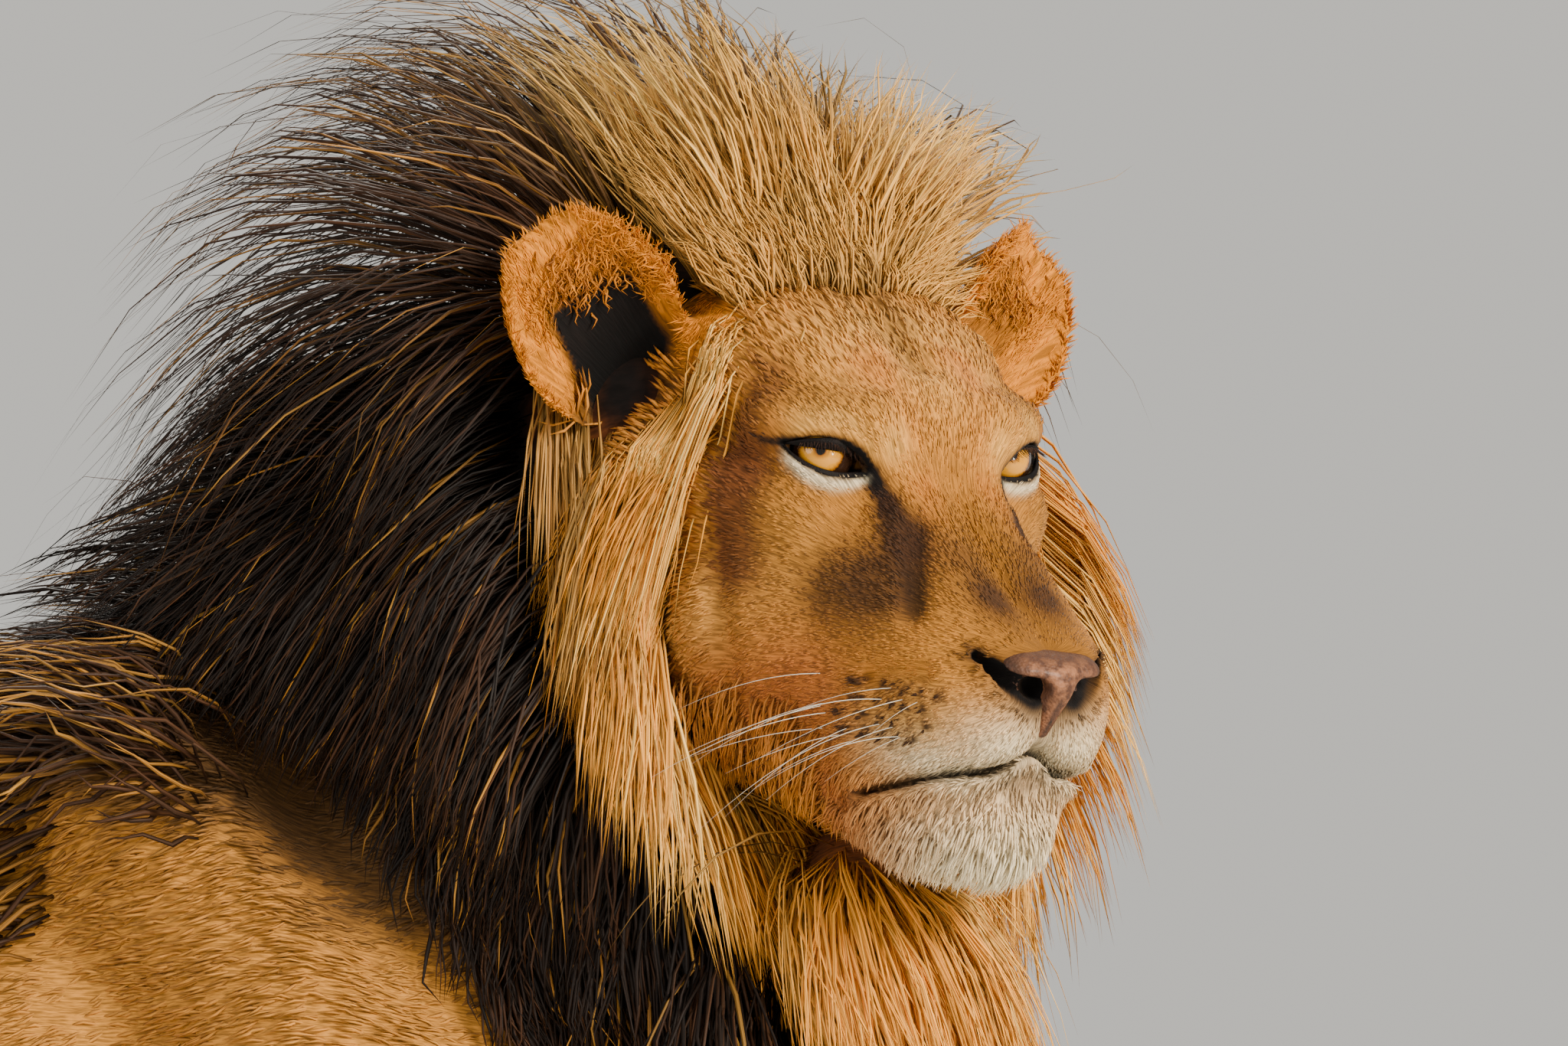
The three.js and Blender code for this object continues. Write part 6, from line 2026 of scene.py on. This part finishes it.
def bodyFlow(points, normals):
    x, y, z = points.T
    flow = np.tile((-1.0, 0, -0.32), (len(points), 1))
    leg = smoothstep(700 - z, 0, 160)
    flow = flow + (np.array((-0.12, 0, -1.0)) - flow) * leg[:, None]
    paw = smoothstep(95 - z, 0, 40)
    flow = flow + (np.array((1.0, 0, -0.5)) - flow) * paw[:, None]
    onTail = (x < -1175) & (np.abs(y) < 70)
    nearest = np.clip(np.searchsorted(-tailPath[:, 2], -z), 1, len(tailPath) - 1)
    flow[onTail] = unit(tailPath[nearest] - tailPath[nearest - 1])[onTail]
    return flow


def growEarLocks():
    # Longer soft hair on the inner edge of each ear sweeps over part of the hollow.
    random = np.random.default_rng(44)
    v = coat["earLocks"]
    count = v["count"]

    def weight(middle, normals):
        local = inHead(middle)
        total = np.zeros(len(local))
        for side in (1, -1):
            up, across, forward = earPlaces(local, side)
            inner = near(np.stack([up, across * side, forward], 1), (0.72, -0.25, 0.5), (0.1, 0.4, 0.4))
            total = total + (local[:, 1] * side > 60) * inner
        return total

    roots, normals = scatter(headPoints, headQuads, weight, count, random)
    local = inHead(roots)
    flow = np.zeros((count, 3))
    for side in (1, -1):
        axis, opening, wide, base = earFrame(side)
        here = local[:, 1] * side > 0
        flow[here] = headTurn @ (wide * side * 0.5 + opening * 0.5 - axis * 0.7)
    flow = flow + (random.random(flow.shape) - 0.5) * 0.5
    style = hairStyle(random, count, between(random, 8, 15, count), 0.7, 0, 0.5, 1.5, 0.1, wave=3)
    paths = growPaths(roots, normals, lie(flow, normals), style, v["stations"])
    tone = blendTo(np.tile(hues["ear"], (count, 1)), "temple", 0.8 * random.random(count))
    addHair(
        "earLocks", "ear", paths, normals, between(random, *v["width"], count), vary(tone * 0.7, 0.2, random),
        vary(tone, 0.2, random), unwrapHead(local)[0], materials["shortFur"], random,
    )


def growBody(nearSide):
    random = np.random.default_rng(51 if nearSide else 52)
    v = coat["body"]
    count = v["near"] if nearSide else v["far"]
    width = v["nearWidth"] if nearSide else v["farWidth"]

    def inPatch(middle):
        x, y, z = middle.T
        along = smoothstep(x, -460, -340) * smoothstep(-x, -330, -230)
        return along * smoothstep(-y, -110, -20) * smoothstep(z, 580, 690)

    def weight(middle, normals):
        bare = ((neckAt(middle) < -12) & (onShoulder(middle) < 0.4)) | (middle[:, 2] < 3)
        patch = inPatch(middle)
        low = 1 + 1.2 * smoothstep(620 - middle[:, 2], 0, 100)
        return ~bare * (patch if nearSide else 1 - patch) * (1.0 if nearSide else low)

    roots, normals = scatter(bodyPoints, bodyQuads, weight, count, random)
    z = roots[:, 2]
    small = smoothstep(620 - z, 0, 160) * 0.35 + smoothstep(120 - z, 0, 60) * 0.3
    length = between(random, 17, 27, count) if nearSide else between(random, 26, 40, count) * (1 - small)
    style = hairStyle(random, count, length, 0.32 if nearSide else 0.14, 0.05, 0.3, 2, 0.04 if nearSide else 0.02)
    flow = bodyFlow(roots, normals)
    flow = flow + (random.random(flow.shape) - 0.5) * 0.34
    flow = flow + np.outer(ripple(roots, 55) * 0.25, (0, 0, 1))
    paths = growPaths(roots, normals, lie(flow, normals), style, v["stations"])
    tone = bodyTone(roots, normals)
    tone = tone * (1 + 0.1 * ripple(roots, 70))[:, None]
    uneven, deep, bright = (0.15, 0.76, 1.08) if nearSide else (0.06, 0.93, 1.02)
    addHair(
        "shoulderFur" if nearSide else "bodyFur", "coat", paths, normals,
        between(random, *width, count) * (1 if nearSide else 1 - small), vary(tone * deep, uneven, random),
        vary(tone * bright, uneven * 1.3, random), unwrapBody(roots)[0], materials["shortFur"], random, 0.7,
    )


def growTuft():
    random = np.random.default_rng(53)
    v = coat["tuft"]
    count = v["count"]
    roots, normals = scatter(
        bodyPoints, bodyQuads, lambda m, n: (m[:, 0] < -1200) * smoothstep(310 - m[:, 2], 0, 60), count, random
    )
    style = hairStyle(random, count, between(random, 55, 100, count), 0.4, 0.5, 0.4, 3, 0.05, wave=between(random, 1, 5, count))
    flow = np.tile((0.0, 0, -1.0), (count, 1)) + (random.random((count, 3)) - 0.5) * 0.3
    paths = growPaths(roots, normals, lie(flow, normals), style, v["stations"])
    paths, _ = gather(paths, count // 12, between(random, 0.3, 0.8, count), random)
    root = np.tile(hues["mane"], (count, 1))
    addHair(
        "tailTuft", "mane", paths, normals, between(random, *v["width"], count), vary(root, 0.3, random),
        vary(hues["maneBrown"] * np.ones((count, 3)), 0.4, random), unwrapBody(roots)[0], materials["longHair"], random,
    )


grown = growMane(coat["mane"]["near"], coat["mane"]["nearWidth"], True, 21)
grown += growMane(coat["mane"]["far"], coat["mane"]["farWidth"], False, 22)
print("mane grown:", grown)
print("ruff grown:", growRuff(True), growRuff(False))
growSideburns()
growCheeks()
growForelock()
growWithers()
growStrays()
growFace()
growChin()
growEars()
growEarLocks()
growBody(True)
growBody(False)
growTuft()
print("coat grown in", len(extras), "pieces")


# ---- floor, light and camera ----
studio = {
    "lens": 500, "sensor": 36, "aimAt": (0.7532, -0.141, 1.139), "width": 0.883, "azimuth": 10, "elevation": 2,
    "floorRadius": 11, "floorHue": "dcd8d0", "worldHue": "e6e3dc", "worldStrength": 0.85,
    "key": {"from": (4.3, -2.4, 2.6), "size": 1.6, "power": 520, "hue": (1.0, 0.92, 0.8)},
    "fill": {"from": (-3.6, -3.8, 1.8), "size": 3.2, "power": 110, "hue": (0.96, 0.97, 1.0)},
    "low": {"from": (4.2, -2.3, 0.15), "size": 0.6, "power": 60, "hue": (1.0, 0.94, 0.85)},
    "back": {"from": (-1.4, 4.4, 3.8), "size": 2.4, "power": 260, "hue": (1.0, 0.94, 0.84)},
}


def makeFloor():
    material, tree, shader = newMaterial("floorPaint", Roughness=0.75)
    place = tree.nodes.new("ShaderNodeTexCoord")
    noise = tree.nodes.new("ShaderNodeTexNoise")
    noise.inputs["Scale"].default_value = 3
    link(tree, place.outputs["Object"], noise.inputs["Vector"])
    ramp = tree.nodes.new("ShaderNodeValToRGB")
    base = linear(studio["floorHue"])
    ramp.color_ramp.elements[0].color = (*(base * 0.96), 1)
    ramp.color_ramp.elements[1].color = (*base, 1)
    link(tree, noise.outputs["Fac"], ramp.inputs[0])
    link(tree, ramp.outputs["Color"], shader.inputs["Base Color"])
    turns = np.linspace(0, 2 * np.pi, 96, endpoint=False)
    rim = np.stack([np.cos(turns), np.sin(turns), 0 * turns], 1) * studio["floorRadius"]
    data = bpy.data.meshes.new("floor")
    data.from_pydata([(0, 0, 0), *map(tuple, rim)], [], [(0, i + 1, (i + 1) % 96 + 1) for i in range(96)])
    data.materials.append(material)
    floor = bpy.data.objects.new("floor", data)
    scene.collection.objects.link(floor)


def makeLight(name, values):
    # The light's place is given from the middle of the head.
    data = bpy.data.lights.new(name, "AREA")
    data.shape = "DISK"
    data.size = values["size"]
    data.energy = values["power"]
    data.color = values["hue"]
    lamp = bpy.data.objects.new(name, data)
    scene.collection.objects.link(lamp)
    aim = Vector(studio["aimAt"]) + Vector((-0.15, 0, -0.1))
    lamp.location = aim + Vector(values["from"])
    lamp.rotation_euler = (aim - lamp.location).to_track_quat("-Z", "Y").to_euler()


def makeCamera():
    data = bpy.data.cameras.new("camera")
    data.lens = studio["lens"]
    data.sensor_width = studio["sensor"]
    data.clip_end = 400
    camera = bpy.data.objects.new("camera", data)
    scene.collection.objects.link(camera)
    turn, lift = math.radians(studio["azimuth"]), math.radians(studio["elevation"])
    away = Vector((math.sin(turn) * math.cos(lift), -math.cos(turn) * math.cos(lift), math.sin(lift)))
    aim = Vector(studio["aimAt"])
    camera.location = aim + away * (studio["width"] * studio["lens"] / studio["sensor"])
    camera.rotation_euler = (aim - camera.location).to_track_quat("-Z", "Y").to_euler()
    scene.camera = camera


def makeWorld():
    world = bpy.data.worlds.new("studioAir")
    world.use_nodes = True
    shader = world.node_tree.nodes["Background"]
    shader.inputs["Color"].default_value = (*linear(studio["worldHue"]), 1)
    shader.inputs["Strength"].default_value = studio["worldStrength"]
    scene.world = world


makeFloor()
for lightName in ("key", "low", "fill", "back"):
    makeLight(lightName, studio[lightName])
makeCamera()
makeWorld()
print("stage set")

# ---- what each piece stands for ----
bodyNodes = [
    "torso", "neck", "foreleg_left", "foreleg_right", "forepaw_left", "forepaw_right", "hindleg_left",
    "hindleg_right", "hindpaw_left", "hindpaw_right", "tail_base", "tail_end",
]
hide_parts(*bodyNodes)
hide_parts("head", "jaw", "ear_left", "ear_right")
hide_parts("nose")
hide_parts("eye_left")
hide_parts("eye_right")
slots = [
    (bodySkin, "coat"), (headSkin, "coat"), (nose, "nose"), (eyes[1], "eye"), (eyes[-1], "eye"),
    (lids[1], "nose"), (lids[-1], "nose"), (claws, "nose"), *whiskers, *extras,
]
for piece, slotName in slots:
    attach(piece, "root")
